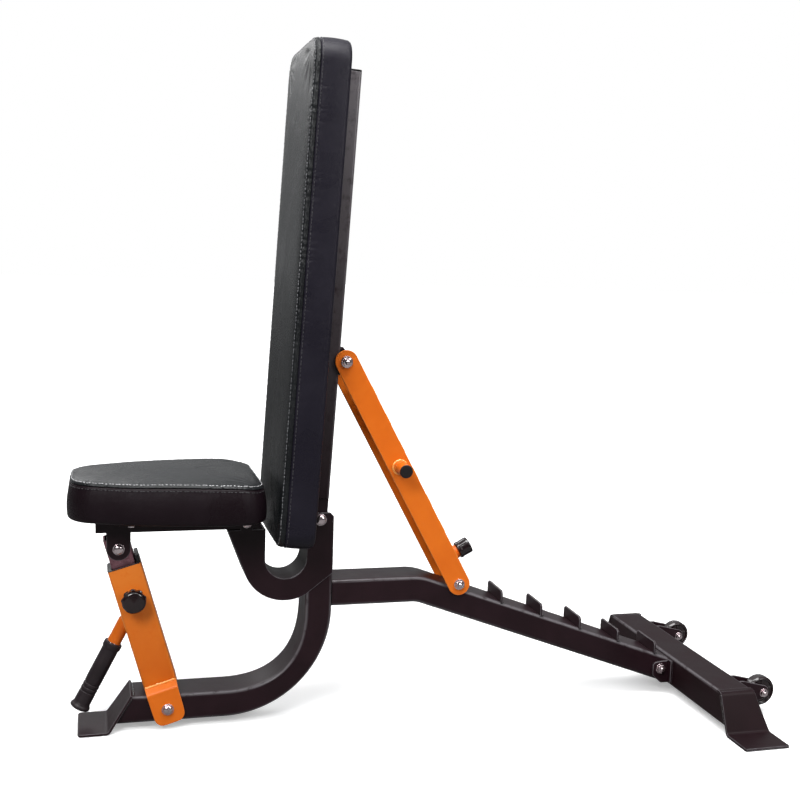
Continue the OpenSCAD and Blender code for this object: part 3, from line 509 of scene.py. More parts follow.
def use(tree, group, **inputs):
    """The outputs of a node group in a material. An input's name has its spaces as underscores."""
    node = tree.nodes.new("ShaderNodeGroup")
    node.node_tree = group
    for key, value in inputs.items():
        way = node.inputs[key.replace("_", " ")]
        if isinstance(value, bpy.types.NodeSocket):
            tree.links.new(value, way)
        else:
            way.default_value = value
    return node.outputs


def scaled(tree, value, by):
    return math_node(tree, "MULTIPLY", value, by)


def toned(colour, by):
    """A colour made darker or lighter."""
    return tuple(c * by for c in colour)


def mix(tree, amount, a, b):
    """A colour between a and b."""
    node = add(tree, "ShaderNodeMix", data_type="RGBA")
    for index, value in ((0, amount), (6, a), (7, b)):
        if isinstance(value, bpy.types.NodeSocket):
            tree.links.new(value, node.inputs[index])
        else:
            node.inputs[index].default_value = value if index == 0 else (*value, 1.0)
    return node.outputs[2]


def finish(tree, shader, base, roughness, height, distance, strength, **settings):
    """Joins colour, roughness and bump to the shader, and sets its other inputs, named with underscores."""
    tree.links.new(base, shader.inputs["Base Color"])
    tree.links.new(roughness, shader.inputs["Roughness"])
    for key, value in settings.items():
        shader.inputs[key.replace("_", " ")].default_value = value
    node = add(tree, "ShaderNodeBump", {"Height": height, "Distance": distance, "Strength": strength})
    tree.links.new(node.outputs[0], shader.inputs["Normal"])


def powder(name, colour, deep, rim_wear_and_highlight, dusty, rough, peel, grit, wear, specular=0.5, coat=0.0):
    """Powder-coated steel: clouded colour, peel, rims lightened for wear and as a painted highlight, scuffs that catch
    the light, and dust on top.
    """
    look, tree, shader, where = blank(name)
    paint = use(tree, COAT, Where=where, Peel=peel, Grit=grit)
    age = use(tree, WEAR, Where=where, Amount=wear)
    base = mix(tree, ramp(tree, paint["Clouds"], 0.3, 0.7), deep, colour)
    base = mix(tree, scaled(tree, age["Dust"], 0.5), base, dusty)
    # Rims lighten towards the rim colour: partly wear, partly a painted highlight.
    base = mix(tree, age["Rim"], base, rim_wear_and_highlight)
    base = mix(tree, scaled(tree, age["Scuffs"], 0.22), base, dusty)
    roughness = math_node(tree, "ADD", ramp(tree, paint["Clouds"], 0.25, 0.75, rough - 0.05, rough + 0.05),
                          scaled(tree, age["Scuffs"], 0.12))
    roughness = math_node(tree, "ADD", roughness, scaled(tree, age["Rim"], -0.1))
    finish(tree, shader, base, roughness, paint["Height"], 0.00008, 0.55, Specular_IOR_Level=specular,
           Coat_Weight=coat, Coat_Roughness=0.22)
    return look


def vinyl(name, colour, light, rough, specular):
    """Grained vinyl: creases painted darker than the pebbles as shade, and gloss that varies."""
    look, tree, shader, where = blank(name)
    grain = use(tree, GRAIN, Where=where, Pebbles_per_metre=620.0)
    base = mix(tree, ramp(tree, grain["Clouds"], 0.3, 0.7), colour, light)
    # Darker creases: painted shade between the pebbles.
    base = mix(tree, scaled(tree, grain["Crease"], 0.45), base, toned(colour, 0.35))
    roughness = math_node(tree, "ADD", ramp(tree, grain["Clouds"], 0.3, 0.7, rough - 0.04, rough + 0.05),
                          scaled(tree, grain["Crease"], 0.15))
    finish(tree, shader, base, roughness, grain["Height"], 0.00022, 0.6, Specular_IOR_Level=specular)
    return look


def metal(name, colour, dull, rough, lines=(1.0, 1.0, 1.0)):
    """Plated or drawn metal with clouds in its gloss and small dull pits."""
    look, tree, shader, where = blank(name)
    bright = use(tree, BRIGHT, Where=where, Lines=lines)
    base = mix(tree, ramp(tree, bright["Clouds"], 0.35, 0.7), colour, dull)
    base = mix(tree, scaled(tree, bright["Pits"], 0.5), base, toned(dull, 0.5))
    roughness = ramp(tree, bright["Clouds"], 0.3, 0.75, rough - 0.05, rough + 0.1)
    finish(tree, shader, base, roughness, bright["Height"], 0.00002, 0.5, Metallic=1.0)
    return look


def moulded(name, colour, light, rough, grit=0.3, coat=0.0, specular=0.5):
    """Moulded plastic or rubber: a fine spark-eroded grain, flow clouds and light wear."""
    look, tree, shader, where = blank(name)
    skin = use(tree, COAT, Where=where, Peel=0.25, Grit=grit)
    age = use(tree, WEAR, Where=where, Amount=0.35)
    base = mix(tree, ramp(tree, skin["Clouds"], 0.3, 0.7), colour, light)
    base = mix(tree, scaled(tree, age["Scuffs"], 0.25), base, toned(light, 2.2))
    roughness = math_node(tree, "ADD", ramp(tree, skin["Clouds"], 0.3, 0.7, rough - 0.04, rough + 0.04),
                          scaled(tree, age["Scuffs"], 0.15))
    finish(tree, shader, base, roughness, skin["Height"], 0.00007, 0.5, Specular_IOR_Level=specular,
           Coat_Weight=coat, Coat_Roughness=0.08)
    return look


# Each coat's fourth colour is its rim colour: partly wear, partly a painted highlight.
black = powder("black_coat", (0.0160, 0.0058, 0.0086), (0.0116, 0.0040, 0.0060), (0.16, 0.15, 0.16),
               (0.020, 0.014, 0.016), 0.37, 0.6, 0.5, 0.65, specular=0.26)
# A darker, less glossy copy of the black coat for the hook's liners and the rear foot, which the light leaves darker:
# painted shade.
shaded_black = powder("matt_black_coat", (0.0135, 0.0050, 0.0068), (0.0100, 0.0036, 0.0048), (0.16, 0.15, 0.16),
                    (0.016, 0.011, 0.013), 0.44, 0.6, 0.6, 0.6, specular=0.13)
orange = powder("orange_coat", (0.74, 0.158, 0.009), (0.68, 0.132, 0.007), (0.86, 0.30, 0.05), (0.78, 0.20, 0.02),
                0.36, 0.45, 0.2, 0.35, specular=0.28, coat=0.06)
# The orange welds are painted far lighter and yellower than the coat: a painted highlight on the beads.
orange_weld_highlight = powder("orange_weld_highlight", (0.98, 0.46, 0.12), (0.85, 0.28, 0.04), (1.0, 0.7, 0.35), (0.95, 0.4, 0.1),
                     0.2, 0.8, 0.4, 0.8, specular=0.7, coat=0.5)
black_weld = powder("black_weld", (0.02, 0.016, 0.018), (0.012, 0.008, 0.009), (0.12, 0.11, 0.11), (0.05, 0.05, 0.05),
                    0.24, 0.8, 0.5, 0.6)
# The zinc and the drawn bar are tinted pink for the colour they reflect: painted reflection.
zinc = metal("zinc_plate", (0.90, 0.80, 0.82), (0.66, 0.52, 0.55), 0.18)
steel = metal("dark_bar", (0.40, 0.20, 0.235), (0.27, 0.13, 0.155), 0.30, (1.0, 1.0, 0.04))
pad_vinyl = vinyl("pad_vinyl", (0.0066, 0.0076, 0.0086), (0.0094, 0.0106, 0.0120), 0.27, 0.27)
# The seat's side panel is a darker, redder copy of the top vinyl: painted shade on the side.
shaded_seat_side = vinyl("seat_side_vinyl", (0.0070, 0.0030, 0.0048), (0.0092, 0.0046, 0.0070), 0.28, 0.17)
# The backrest's side panel is a lighter, bluish copy of the top vinyl: painted light on the side.
lit_back_side = vinyl("back_side_vinyl", (0.0092, 0.0076, 0.0140), (0.0122, 0.0102, 0.0180), 0.30, 0.24)
thread = moulded("seam_thread", (0.035, 0.034, 0.037), (0.06, 0.058, 0.062), 0.35, 0.6)
# The seat's upper stitches are painted light grey: a painted highlight along the seam's roll.
highlight_thread = moulded("highlight_seam_thread", (0.30, 0.30, 0.31), (0.50, 0.50, 0.51), 0.25, 0.6, coat=0.5)
pale_thread = moulded("pale_seam_thread", (0.11, 0.11, 0.12), (0.20, 0.20, 0.21), 0.3, 0.6, coat=0.2)
plastic = moulded("black_plastic", (0.0075, 0.0062, 0.0070), (0.012, 0.010, 0.011), 0.36, specular=0.35)
gloss = moulded("wheel_plastic", (0.0075, 0.0028, 0.0034), (0.012, 0.005, 0.006), 0.16, 0.05, coat=0.45)
rubber = moulded("grip_rubber", (0.013, 0.0088, 0.0105), (0.020, 0.014, 0.016), 0.46, 0.8, specular=0.3)
cloth = moulded("underside_cloth", (0.010, 0.009, 0.010), (0.016, 0.015, 0.016), 0.85, 1.0, specular=0.1)


# ---------------------------------------------------------------- main frame

FOOT_ANGLE, FOOT_MEET = math.radians(57), -338.0
BEND_R, BEND_X, BEND_Z = 172.0, -172.0, 211.0
HOOK = (-63.5, 311.0)
HOOK_R, SLOT_R, ARM_TOP, ARM_LEAN = 80.0, 38.5, 367.0, 21.4
MITRE = (240.88, 279.88)


def foot_face(z):
    """Where the front foot's sloping sheet meets the tube, at a height."""
    return FOOT_MEET - (TUBE_TOP - z) / math.tan(FOOT_ANGLE)


def frame_tube(name, node, path, ways, flat, trim):
    """The frame's tube, carried with its hollow along a path in X and Z. ways are the outward directions on the
    way, flat is the share by which its inner side is drawn outwards there, and trim shapes its ends."""
    shell, walls = Shell(), []
    for shrink in (0.0, WALL):
        pts, _, rim = rect_section(TUBE_H - 2 * shrink, TUBE_W - 2 * shrink, TUBE_R - shrink, hold=0.7)
        depth = TUBE_H / 2 - (TUBE_H / 2 - pts[None, :, 0]) * (1 - flat[:, None])
        x, z = (path[:, k:k + 1] + ways[:, k:k + 1] * depth for k in (0, 1))
        trim(x, z)
        walls.append(bench(np.stack([x, np.broadcast_to(pts[None, :, 1], x.shape), z], -1)))
        shell.grid(walls[-1], wrap_v=True, edge=rim[None])
    shell.end_rings(*walls)
    piece(name, shell, black, "frame", node)


def lower_tube():
    """The bent tube: a straight run, a quarter bend and a rise. In the bend its inner side is drawn outwards by up
    to 0.18 of its depth, as tube flattens when it's bent."""
    a = np.radians(np.linspace(0, 90, 49))
    bend = np.stack([BEND_X + BEND_R * np.sin(a), BEND_Z - BEND_R * np.cos(a)], 1)
    path = np.concatenate([straight((-345, TUBE_MID), (BEND_X, TUBE_MID), 4)[:-1], bend, [(0.0, 260.0)]])
    turn = np.concatenate([np.zeros(4), a, [math.pi / 2]])

    def trim(x, z):
        x[0] = foot_face(z[0]) + 0.2
        z[-1] = MITRE[0] + (x[-1] / TUBE_H + 0.5) * (MITRE[1] - MITRE[0]) - 0.25
    frame_tube("bent_tube", "lower_tube", path, np.stack([np.sin(turn), -np.cos(turn)], 1),
               0.18 * np.sin(2 * turn) ** 2, trim)


def hook_outline():
    """The hook's side: up the mitre and the upright, round the hinge ear, down the slot, over the arm and back
    round the outside."""
    cx, cz = HOOK
    lean = math.radians(ARM_LEAN)
    touch = (cx - HOOK_R * math.cos(lean), cz - HOOK_R * math.sin(lean))
    top_x = touch[0] - (ARM_TOP - touch[1]) * math.tan(lean)
    parts = [
        [(-25.0, MITRE[0])], [(25.0, MITRE[1])],
        [(25.0, 387.0), (24.6, 388.2), (18.8, 394.4), (17.6, 395.0)],
        [(-14.0, 395.0), (-23.5, 386.0), (-23.5, 372.0), (-25.0, 368.0)],
        arc(cx, cz, SLOT_R, 0, -180, 40),
        [(cx - SLOT_R, ARM_TOP), (-126.0, ARM_TOP)],
        arc(*SEAT_HINGE, 11.0, 0, 180, 16),
        [(-148.0, ARM_TOP), (top_x, ARM_TOP)],
        arc(cx, cz, HOOK_R, 180 + ARM_LEAN, 298.77, 48)]
    return np.concatenate([np.array(p, float) for p in parts])


def hook_sides():
    """The two side plates, each with holes for the backrest's and the seat's bolts."""
    for side, name in ((1, "hook_side_left"), (-1, "hook_side_right")):
        shell = Shell()
        holes = [arc(0, BACK_HINGE_Z, 6.0, 0, 351, 39), arc(*SEAT_HINGE, 6.0, 0, 351, 39)]
        plate(shell, bench, [hook_outline()] + holes, side * (HALF_W - PLATE_T / 2), PLATE_T, 1.1)
        piece(name.replace("hook", "hook_plate"), shell, black, "frame", name)


def across_bench(a, b, c):
    """Path coordinates are X and Z of the bench, and c goes across it."""
    return bench(np.stack([a, c, b], -1))


def hook_liners():
    """The bent strips that close the hook between its side plates, flush with the plates' edges."""
    cx, cz = HOOK
    half = HALF_W - PLATE_T
    inner_r, outer_r = SLOT_R + PLATE_T / 2, HOOK_R - PLATE_T / 2
    lean = math.radians(ARM_LEAN)
    touch = np.array([cx - outer_r * math.cos(lean), cz - outer_r * math.sin(lean)])
    up = np.array([-math.sin(lean), math.cos(lean)])
    runs = {
        "hook_inner_liner": np.concatenate([
            straight((cx - inner_r, ARM_TOP - 0.5), (cx - inner_r, cz), 4), arc(cx, cz, inner_r, 180, 360, 48)[1:],
            straight((cx + inner_r, cz), (cx + inner_r, 355.0), 4)[1:]]),
        "hook_outer_liner": np.concatenate([
            straight(touch + up * (ARM_TOP - touch[1] - 1.5) / up[1], touch, 6),
            arc(cx, cz, outer_r, 180 + ARM_LEAN, 299.0, 40)[1:]]),
        "upright_rear_liner": straight((23.0, 281.0), (23.0, 355.0), 3)}
    for name, path in runs.items():
        shell = Shell()
        n = len(path)
        strip(shell, across_bench, path, PLATE_T, np.full(n, -half), np.full(n, half), 0.4, 0.6)
        # The liners take the shaded copy of the black coat: painted shade inside the slot.
        piece(name + "_bent", shell, shaded_black, "frame", name)


KINK, SLOPE, BEAM_MID, KINK_R = 195.0, math.radians(20), 240.5, 75.0
FOOT_X = 734.0


def beam_face(x):
    """Height of the rear beam's upper face, on its slope."""
    return BEAM_MID + 25.0 / math.cos(SLOPE) - (x - KINK) * math.tan(SLOPE)


def rear_beam():
    """The rear beam: a level run, a bend of 20 degrees and a sloping run, cut upright at the rear foot."""
    cut_x = FOOT_X - 5.0
    a = np.linspace(0, SLOPE, 13)
    bend_x = KINK - KINK_R * math.tan(SLOPE / 2) + KINK_R * np.sin(a)
    bend = np.stack([bend_x, BEAM_MID - KINK_R + KINK_R * np.cos(a)], 1)
    path = np.concatenate([[(25.0, BEAM_MID)], bend, [(cut_x, BEAM_MID - (cut_x - KINK) * math.tan(SLOPE))]])
    turn = np.concatenate([[0.0], a, [SLOPE]])

    def trim(x, z):
        z[-1] -= (cut_x - x[-1]) * math.tan(SLOPE)
        x[-1] = cut_x
    frame_tube("kinked_beam", "rear_beam", path, np.stack([np.sin(turn), np.cos(turn)], 1), np.zeros(len(turn)), trim)


CATCH_X, CATCH_PITCH, CATCH_H = 361.0, 84.2, 23.0


def round_end(gone, r):
    """How much a strip's edge steps in at each length gone from its end, for a corner rounded to r."""
    near = np.clip(r - gone, 0, r)
    return r - np.sqrt(np.maximum(r * r - near * near, 0))


def catches():
    """The low rib and the five upright plates across the beam, with clipped top corners. A weld runs along the
    rear of each, with a blob at either end of the tall ones, and along the low one's front."""
    welds = Shell()
    for i in range(6):
        low = i == 0
        x = CATCH_X - CATCH_PITCH + 4 if low else CATCH_X + (i - 1) * CATCH_PITCH
        t, h, clip, corner_r = (6.0, 4.0, 1.2, 0.4) if low else (PLATE_T, CATCH_H, 5.0, 1.6)
        top, sole = beam_face(x) + h, beam_face(x + t) - 0.3
        outline = rounded([(-HALF_W, sole, 0.3), (HALF_W, sole, 0.3), (HALF_W, top - clip, corner_r),
                           (HALF_W - clip, top, corner_r), (clip - HALF_W, top, corner_r),
                           (-HALF_W, top - clip, corner_r)], 4)
        shell = Shell()
        plate(shell, end_on, [outline], x + t / 2, t, 0.8)
        name = "low_rib" if low else "catch_%d" % i
        piece(name + "_plate", shell, black, "frame", name)
        for gap, lean in ([(-0.6, -0.6)] if low else []) + [(t + 0.6, 0.4)]:
            line = [(x + gap, y, beam_face(x + gap) + 0.2) for y in np.linspace(-37, 37, 8)]
            add_bead(welds, bench, line, (lean, 0, 1), 1.5, seed=40 + i)
        for side in () if low else (-1, 1):
            base = beam_face(x + t / 2) + 0.3
            spot = [(x + t + 1.0, side * 38.5 + dy, base + dz) for dy, dz in ((-2.4, 0), (0, 0.5), (1.4, 0))]
            add_bead(welds, bench, spot, (0, 0, 1), 2.3, pitch=1.6, seed=60 + i)
    piece("catch_welds", welds, black_weld, "frame")


def front_foot():
    """The front foot: one bent sheet, a flat toe that turns up at 57 degrees and narrows to the tube's width. Its
    half-width follows the path, and is cut round at the toe's corners."""
    t = THICK_PLATE
    slope = math.tan(FOOT_ANGLE)
    heel = FOOT_MEET - (TUBE_TOP - t) / slope - t / math.sin(FOOT_ANGLE)
    toe = np.array([heel - 52.0, t / 2])
    top = np.array([FOOT_MEET + 2.2 / slope - t / 2 / math.sin(FOOT_ANGLE), TUBE_TOP + 2.2])
    knee = np.array([top[0] - (top[1] - t / 2) / slope, t / 2])
    path, s = smooth_path([toe, (*knee, 9.0), top], 1.5)
    bend_at = np.linalg.norm(knee - toe)
    half = 53.0 - np.clip((s - bend_at) / (s[-1] - bend_at), 0, 1) * 12.5
    half = half - round_end(s, 7.0)
    shell = Shell()
    strip(shell, across_bench, path, t, -half, half, 1.1, 0.9)
    piece("front_foot_sheet", shell, black, "frame", "front_foot")
    welds = Shell()
    for side in (-1, 1):
        line = [(foot_face(z) + 1.4, side * (HALF_W + 0.2), z) for z in np.linspace(60, 17, 10)]
        add_bead(welds, bench, line, (0.5, side, 0.2), 1.7, seed=5 + side)
    line = [(FOOT_MEET + 1.8, y, TUBE_TOP) for y in np.linspace(-33, 33, 10)]
    add_bead(welds, bench, line, (-0.4, 0, 1), 1.6, seed=9)
    piece("front_foot_welds", welds, black_weld, "frame")


REAR_L, REAR_LOW, REAR_TOP, REAR_HALF = 70.0, 16.0, 76.0, 239.0
SPAN, PAD_L, PAD_EXTRA = 672.0, 66.0, 20.0
PAD_IN = SPAN / 2 - PAD_L
WHEEL = (860.0, 170.0, 46.0)


def rear_foot():
    """The rear foot's cross beam, cut to the slope of its end sheets, and those sheets: each leaves the beam's
    top, bends down to the floor and out into a pad that is longer at the rear."""
    t = THICK_PLATE
    lean = (PAD_IN - REAR_HALF) / (REAR_TOP - t)
    shell, walls = Shell(), []
    for shrink in (0.0, WALL):
        pts, _, rim = rect_section(REAR_TOP - REAR_LOW - 2 * shrink, REAR_L - 2 * shrink, 6.0 - shrink, hold=0.6)
        z = (REAR_TOP + REAR_LOW) / 2 + pts[:, 0]
        y = np.linspace(-1, 1, 5)[:, None] * (REAR_HALF + (REAR_TOP - z) * lean - 2.0)
        x = np.broadcast_to(FOOT_X + REAR_L / 2 + pts[:, 1], y.shape)
        walls.append(bench(np.stack([x, y, np.broadcast_to(z, y.shape)], -1)))
        shell.grid(walls[-1], wrap_v=True, edge=rim[None])
    shell.end_rings(*walls)
    # The rear foot's tube and sheets take the shaded copy of the black coat: painted shade.
    piece("rear_foot_tube", shell, shaded_black, "frame", "rear_foot_beam")
    welds = Shell()
    for side, name in ((1, "rear_foot_plate_left"), (-1, "rear_foot_plate_right")):
        top = REAR_TOP - t / 2 + 0.15
        path, s = smooth_path([(REAR_HALF - 13.0, top), (REAR_HALF - 0.5, top, 9.0), (PAD_IN - 1.0, t / 2, 8.0),
                               (SPAN / 2, t / 2)], 1.5)
        down = np.clip((REAR_TOP - path[:, 1]) / (REAR_TOP - t / 2), 0, 1)
        cut = round_end(s[-1] - s, 3.0)
        low = FOOT_X - 0.2 + cut
        high = FOOT_X + REAR_L + 0.2 + PAD_EXTRA * down ** 1.1 - cut
        shell = Shell()
        strip(shell, lambda a, b, c: bench(np.stack([c, side * a, b], -1)), path, t, low, high, 1.1, 0.9)
        piece(name.replace("plate", "sheet"), shell, shaded_black, "frame", name)
        for x in (FOOT_X - 0.3, FOOT_X + REAR_L + 0.3):
            line = [(x, side * (REAR_HALF + (REAR_TOP - z) * lean - 4.0), z) for z in np.linspace(70, 20, 9)]
            add_bead(welds, bench, line, (-1 if x < FOOT_X else 1, side * 0.4, 0), 1.6, seed=11 + side)
    piece("rear_foot_welds", welds, black_weld, "frame")


BRACKET_BOLT = (FOOT_X - 22.0, beam_face(FOOT_X - 22.0) - TUBE_H / 2 / math.cos(SLOPE))


def foot_bracket():
    """The bracket of the rear foot: a plate on the beam's front face and two ears beside the sloping tube."""
    shell = Shell()
    bx, bz = BRACKET_BOLT
    sheet = rounded([(-56, 22, 2), (56, 22, 2), (56, 70, 2), (-56, 70, 2)])
    plate(shell, end_on, [sheet], FOOT_X - 2.5, THICK_PLATE, 0.8)
    ear = rounded([(FOOT_X - 4, 22, 0.5), (FOOT_X - 4, 68, 0.5), (bx + 6, 68, 6), (bx - 17, bz + 13, 9),
                   (bx - 17, bz - 13, 9), (bx + 2, 22, 6)])
    for side in (-1, 1):
        plate(shell, bench, [ear], side * (HALF_W + 2.7), THICK_PLATE, 0.9)
    piece("beam_bracket", shell, black, "frame", "foot_bracket")


def wheels_and_brackets():
    """Two small wheels with rounded treads, and hollowed sides with a hub and five ribs, and the plates that hold
    their axles."""
    wheel_x, wheel_y, wheel_z = WHEEL
    r, half = 29.0, 12.0
    edge = FOOT_X + REAR_L
    ear = rounded([(edge - 0.5, 24, 1), (edge - 0.5, 72, 1), (edge + 10, 72, 3), (wheel_x + 8, 58.6, 12),
                   (wheel_x + 13.5, 40, 11), (wheel_x - 4, 32, 8)])
    shell = Shell()
    for side in (-1, 1):
        for f in (-1, 1):
            plate(shell, bench, [ear], side * wheel_y + f * 15.5, PLATE_T, 0.8)
    piece("wheel_forks", shell, black, "frame", "wheel_brackets")
    outer = line_through([(5.05, half, 0), (12.0, half, 0.8), (13.2, half - 2.2, 1.0), (21.5, half - 3.0, 1.2),
                          (23.2, half - 0.4, 1.4), (25.5, half - 0.2, 1.5), (r, half - 4.5, 3.5), (r, 0, 0)], 5)
    profile = np.concatenate([outer, (outer * [1, -1])[::-1][1:], outer[:1]])
    for side, name in ((1, "wheel_left"), (-1, "wheel_right")):
        shell = Shell()
        lathe(shell, bench.facing(wheel_x, side * wheel_y, wheel_z), profile, 72)
        middle_of = bench.at(wheel_x, side * wheel_y, wheel_z)
        for f in (-1, 1):
            for k in range(5):
                a = math.radians(72 * k + 20)
                ray, way = np.array([math.cos(a), math.sin(a)]), np.array([-math.sin(a), math.cos(a)])
                rib = [ray * reach + way * w for reach, w in ((12.5, 1.5), (12.5, -1.5), (22.5, -1.0), (22.5, 1.0))]
                plate(shell, middle_of, [rib], f * (half - 2.6), 2.6, 0.5)
        piece(name + "_turned", shell, gloss, name + "_body", name)


WASHER = 1.4


def bolt(shell, place, y, side, head, hexagonal=False):
    """A bolt end that stands on a face at y, looking along side * Y: a washer, then a dome, or a hexagon with a
    dome on it. The hexagon's radius is a / cos(angle from its nearest flat)."""
    out = place.facing(0, y, 0, side)
    lathe(shell, out, line_through([(AXIS, 0, 0), (head, 0, 0.3), (head, WASHER, 0.5), (AXIS, WASHER, 0)]), 40)
    if not hexagonal:
        r = head * 0.86
        a = np.radians(np.linspace(0, 90, 12))
        dome = np.stack([r * np.cos(a) ** 0.85, WASHER + 1.2 + head * 0.48 * np.sin(a)], 1)
        dome[-1, 0] = AXIS
        lathe(shell, out, np.concatenate([[[AXIS, WASHER], [r - 0.4, WASHER], [r, WASHER + 0.5]], dome]), 40)
        return
    r = head * 0.74

    def hexagon(a, r, z):
        nearest = (a + math.pi / 6) % (math.pi / 3) - math.pi / 6
        return np.where(z < WASHER + head * 0.46, 1 / np.cos(nearest), 1.0 + 0 * a)
    nut = [(AXIS, 0), (r, 0), (r, head * 0.45), (r * 0.98, head * 0.5), (r * 0.62, head * 0.55)]
    lathe(shell, out, np.array(nut) + [0, WASHER], 48, hexagon)
    a = np.radians(np.linspace(0, 90, 8))
    tip = np.stack([r * 0.6 * np.cos(a), WASHER + head * 0.53 + head * 0.28 * np.sin(a)], 1)
    tip[-1, 0] = AXIS
    lathe(shell, out, np.concatenate([[[AXIS, WASHER + 0.1], [r * 0.6, WASHER + 0.1]], tip]), 32)


def shank(shell, place, r, reach):
    """The bolt's plain shank across the bench."""
    rod = place.facing(0, -reach, 0)
    lathe(shell, rod, [(AXIS, 0), (r, 0), (r, 2 * reach), (AXIS, 2 * reach)], 24)


def pivot_bolts():
    """All bolts that cross the bench: a shank and a head at each end."""
    rows = [
        ("post_pivot_bolt", "frame", bench.at(POST_X, 0, TUBE_MID), 6.0, 47.0, 11.0, False),
        ("back_hinge_bolt", "frame", bench.at(0, 0, BACK_HINGE_Z), 6.0, 40.0, 11.0, False),
        ("seat_hinge_bolt", "frame", bench.at(SEAT_HINGE[0], 0, SEAT_HINGE[1]), 6.0, 45.0, 9.0, False),
        ("foot_bracket_bolts", "frame", bench.at(BRACKET_BOLT[0], 0, BRACKET_BOLT[1]), 5.0, 45.2, 10.5, True),
        ("clevis_bolt", "seat", bench.at(CLEVIS[0], 0, CLEVIS[1]), 5.0, 28.5, 10.5, False),
        ("strut_top_bolt", "backrest", back.at(STRUT_U, 0, -STRUT_V), 6.0, 47.0, 11.0, True),
        ("strut_foot_pin", "back_strut", strut.at(STRUT_L, 0, 0), 6.0, 46.5, 10.5, True)]
    for name, body, place, r, reach, head, hexagonal in rows:
        shell = Shell()
        shank(shell, place, r, reach)
        for side in (-1, 1):
            bolt(shell, place, side * reach, side, head, hexagonal)
        piece(name + "_turned", shell, zinc, body, name)
    shell = Shell()
    for side in (-1, 1):
        axle = bench.at(WHEEL[0], side * WHEEL[1], WHEEL[2])
        shank(shell, axle, 5.0, 17.5)
        for f in (-1, 1):
            bolt(shell, axle, f * 17.5, f, 8.6, True)
    piece("wheel_axles_turned", shell, zinc, "frame", "wheel_axles")


lower_tube()
hook_sides()
hook_liners()
rear_beam()
catches()
front_foot()
rear_foot()
foot_bracket()
wheels_and_brackets()
pivot_bolts()


# ---------------------------------------------------------------- seat post

def across_post(a, b, c):
    """Path coordinates are the post's Y and Z, and c goes along its X."""
    return post(np.stack([c, a, b], -1))


EAR_FOOT, EAR_R = -28.0, 15.0
MOUTH = 274.1


def post_pieces():
    """The orange post: its tube, the two bent ears that straddle the lower tube, and the plastic insert."""
    shell = Shell()
    box_tube(shell, post, 60.0, 60.0, 4.5, 38.5, 274.0, 0.5, (0.15, 0.5))
    piece("post_square_tube", shell, orange, "seat_post", "post_tube")
    for side, name in ((1, "post_ear_left"), (-1, "post_ear_right")):
        path, _ = smooth_path([(32.6, 46.5), (32.6, 43.5, 3.2), (44.0, 35.0, 4.0), (44.0, EAR_FOOT)], 0.8)
        path[:, 0] *= side
        half = np.interp(path[:, 1], [EAR_FOOT, -6, 30, 46.5], [26.5, 28.0, 28.6, 29.4])
        half = half - round_end(path[:, 1] - EAR_FOOT, EAR_R)
        shell = Shell()
        strip(shell, across_post, path, THICK_PLATE, -half, half, 1.2, 0.9)
        piece(name + "_sheet", shell, orange, "seat_post", name)
    welds = Shell()
    for side in (-1, 1):
        line = [(x, side * 33.4, 47.0 + 0.5 * math.sin(x * 0.9)) for x in np.linspace(-28.5, 28.5, 40)]
        add_bead(welds, post, line, (0, side * 0.9, 0.6), 1.5, pitch=3.4, seed=21 + side)
    piece("post_welds", welds, orange_weld_highlight, "seat_post")
    shell = Shell()
    rim_levels, rim_insets = MOUTH + np.array([0, 0.1, 0.4, 0.9, 1.3, 1.5]), np.array([0.6, 0.1, 0.0, 0.0, 0.2, 0.8])
    for levels, insets, walls in ((rim_levels, rim_insets, ((60.6, 5.0, 1), (46.0, 2.2, -1))),
                                  ([240.0, MOUTH], np.zeros(2), ((54.6, 2.0, 1), (45.4, 1.5, 1)))):
        shell.end_rings(*[wall(shell, post, rect_section(size, size, r), levels, insets * sign, False)
                          for size, r, sign in walls])
    block = rounded([(22.8, 275.0, 0.3), (29.6, 275.0, 0.3), (29.6, 289.0, 1.6), (22.8, 289.0, 1.2)], 4)
    plate(shell, post, [block], 0.0, 52.0, 1.0)
    piece("post_insert_moulded", shell, plastic, "seat_post", "post_insert")


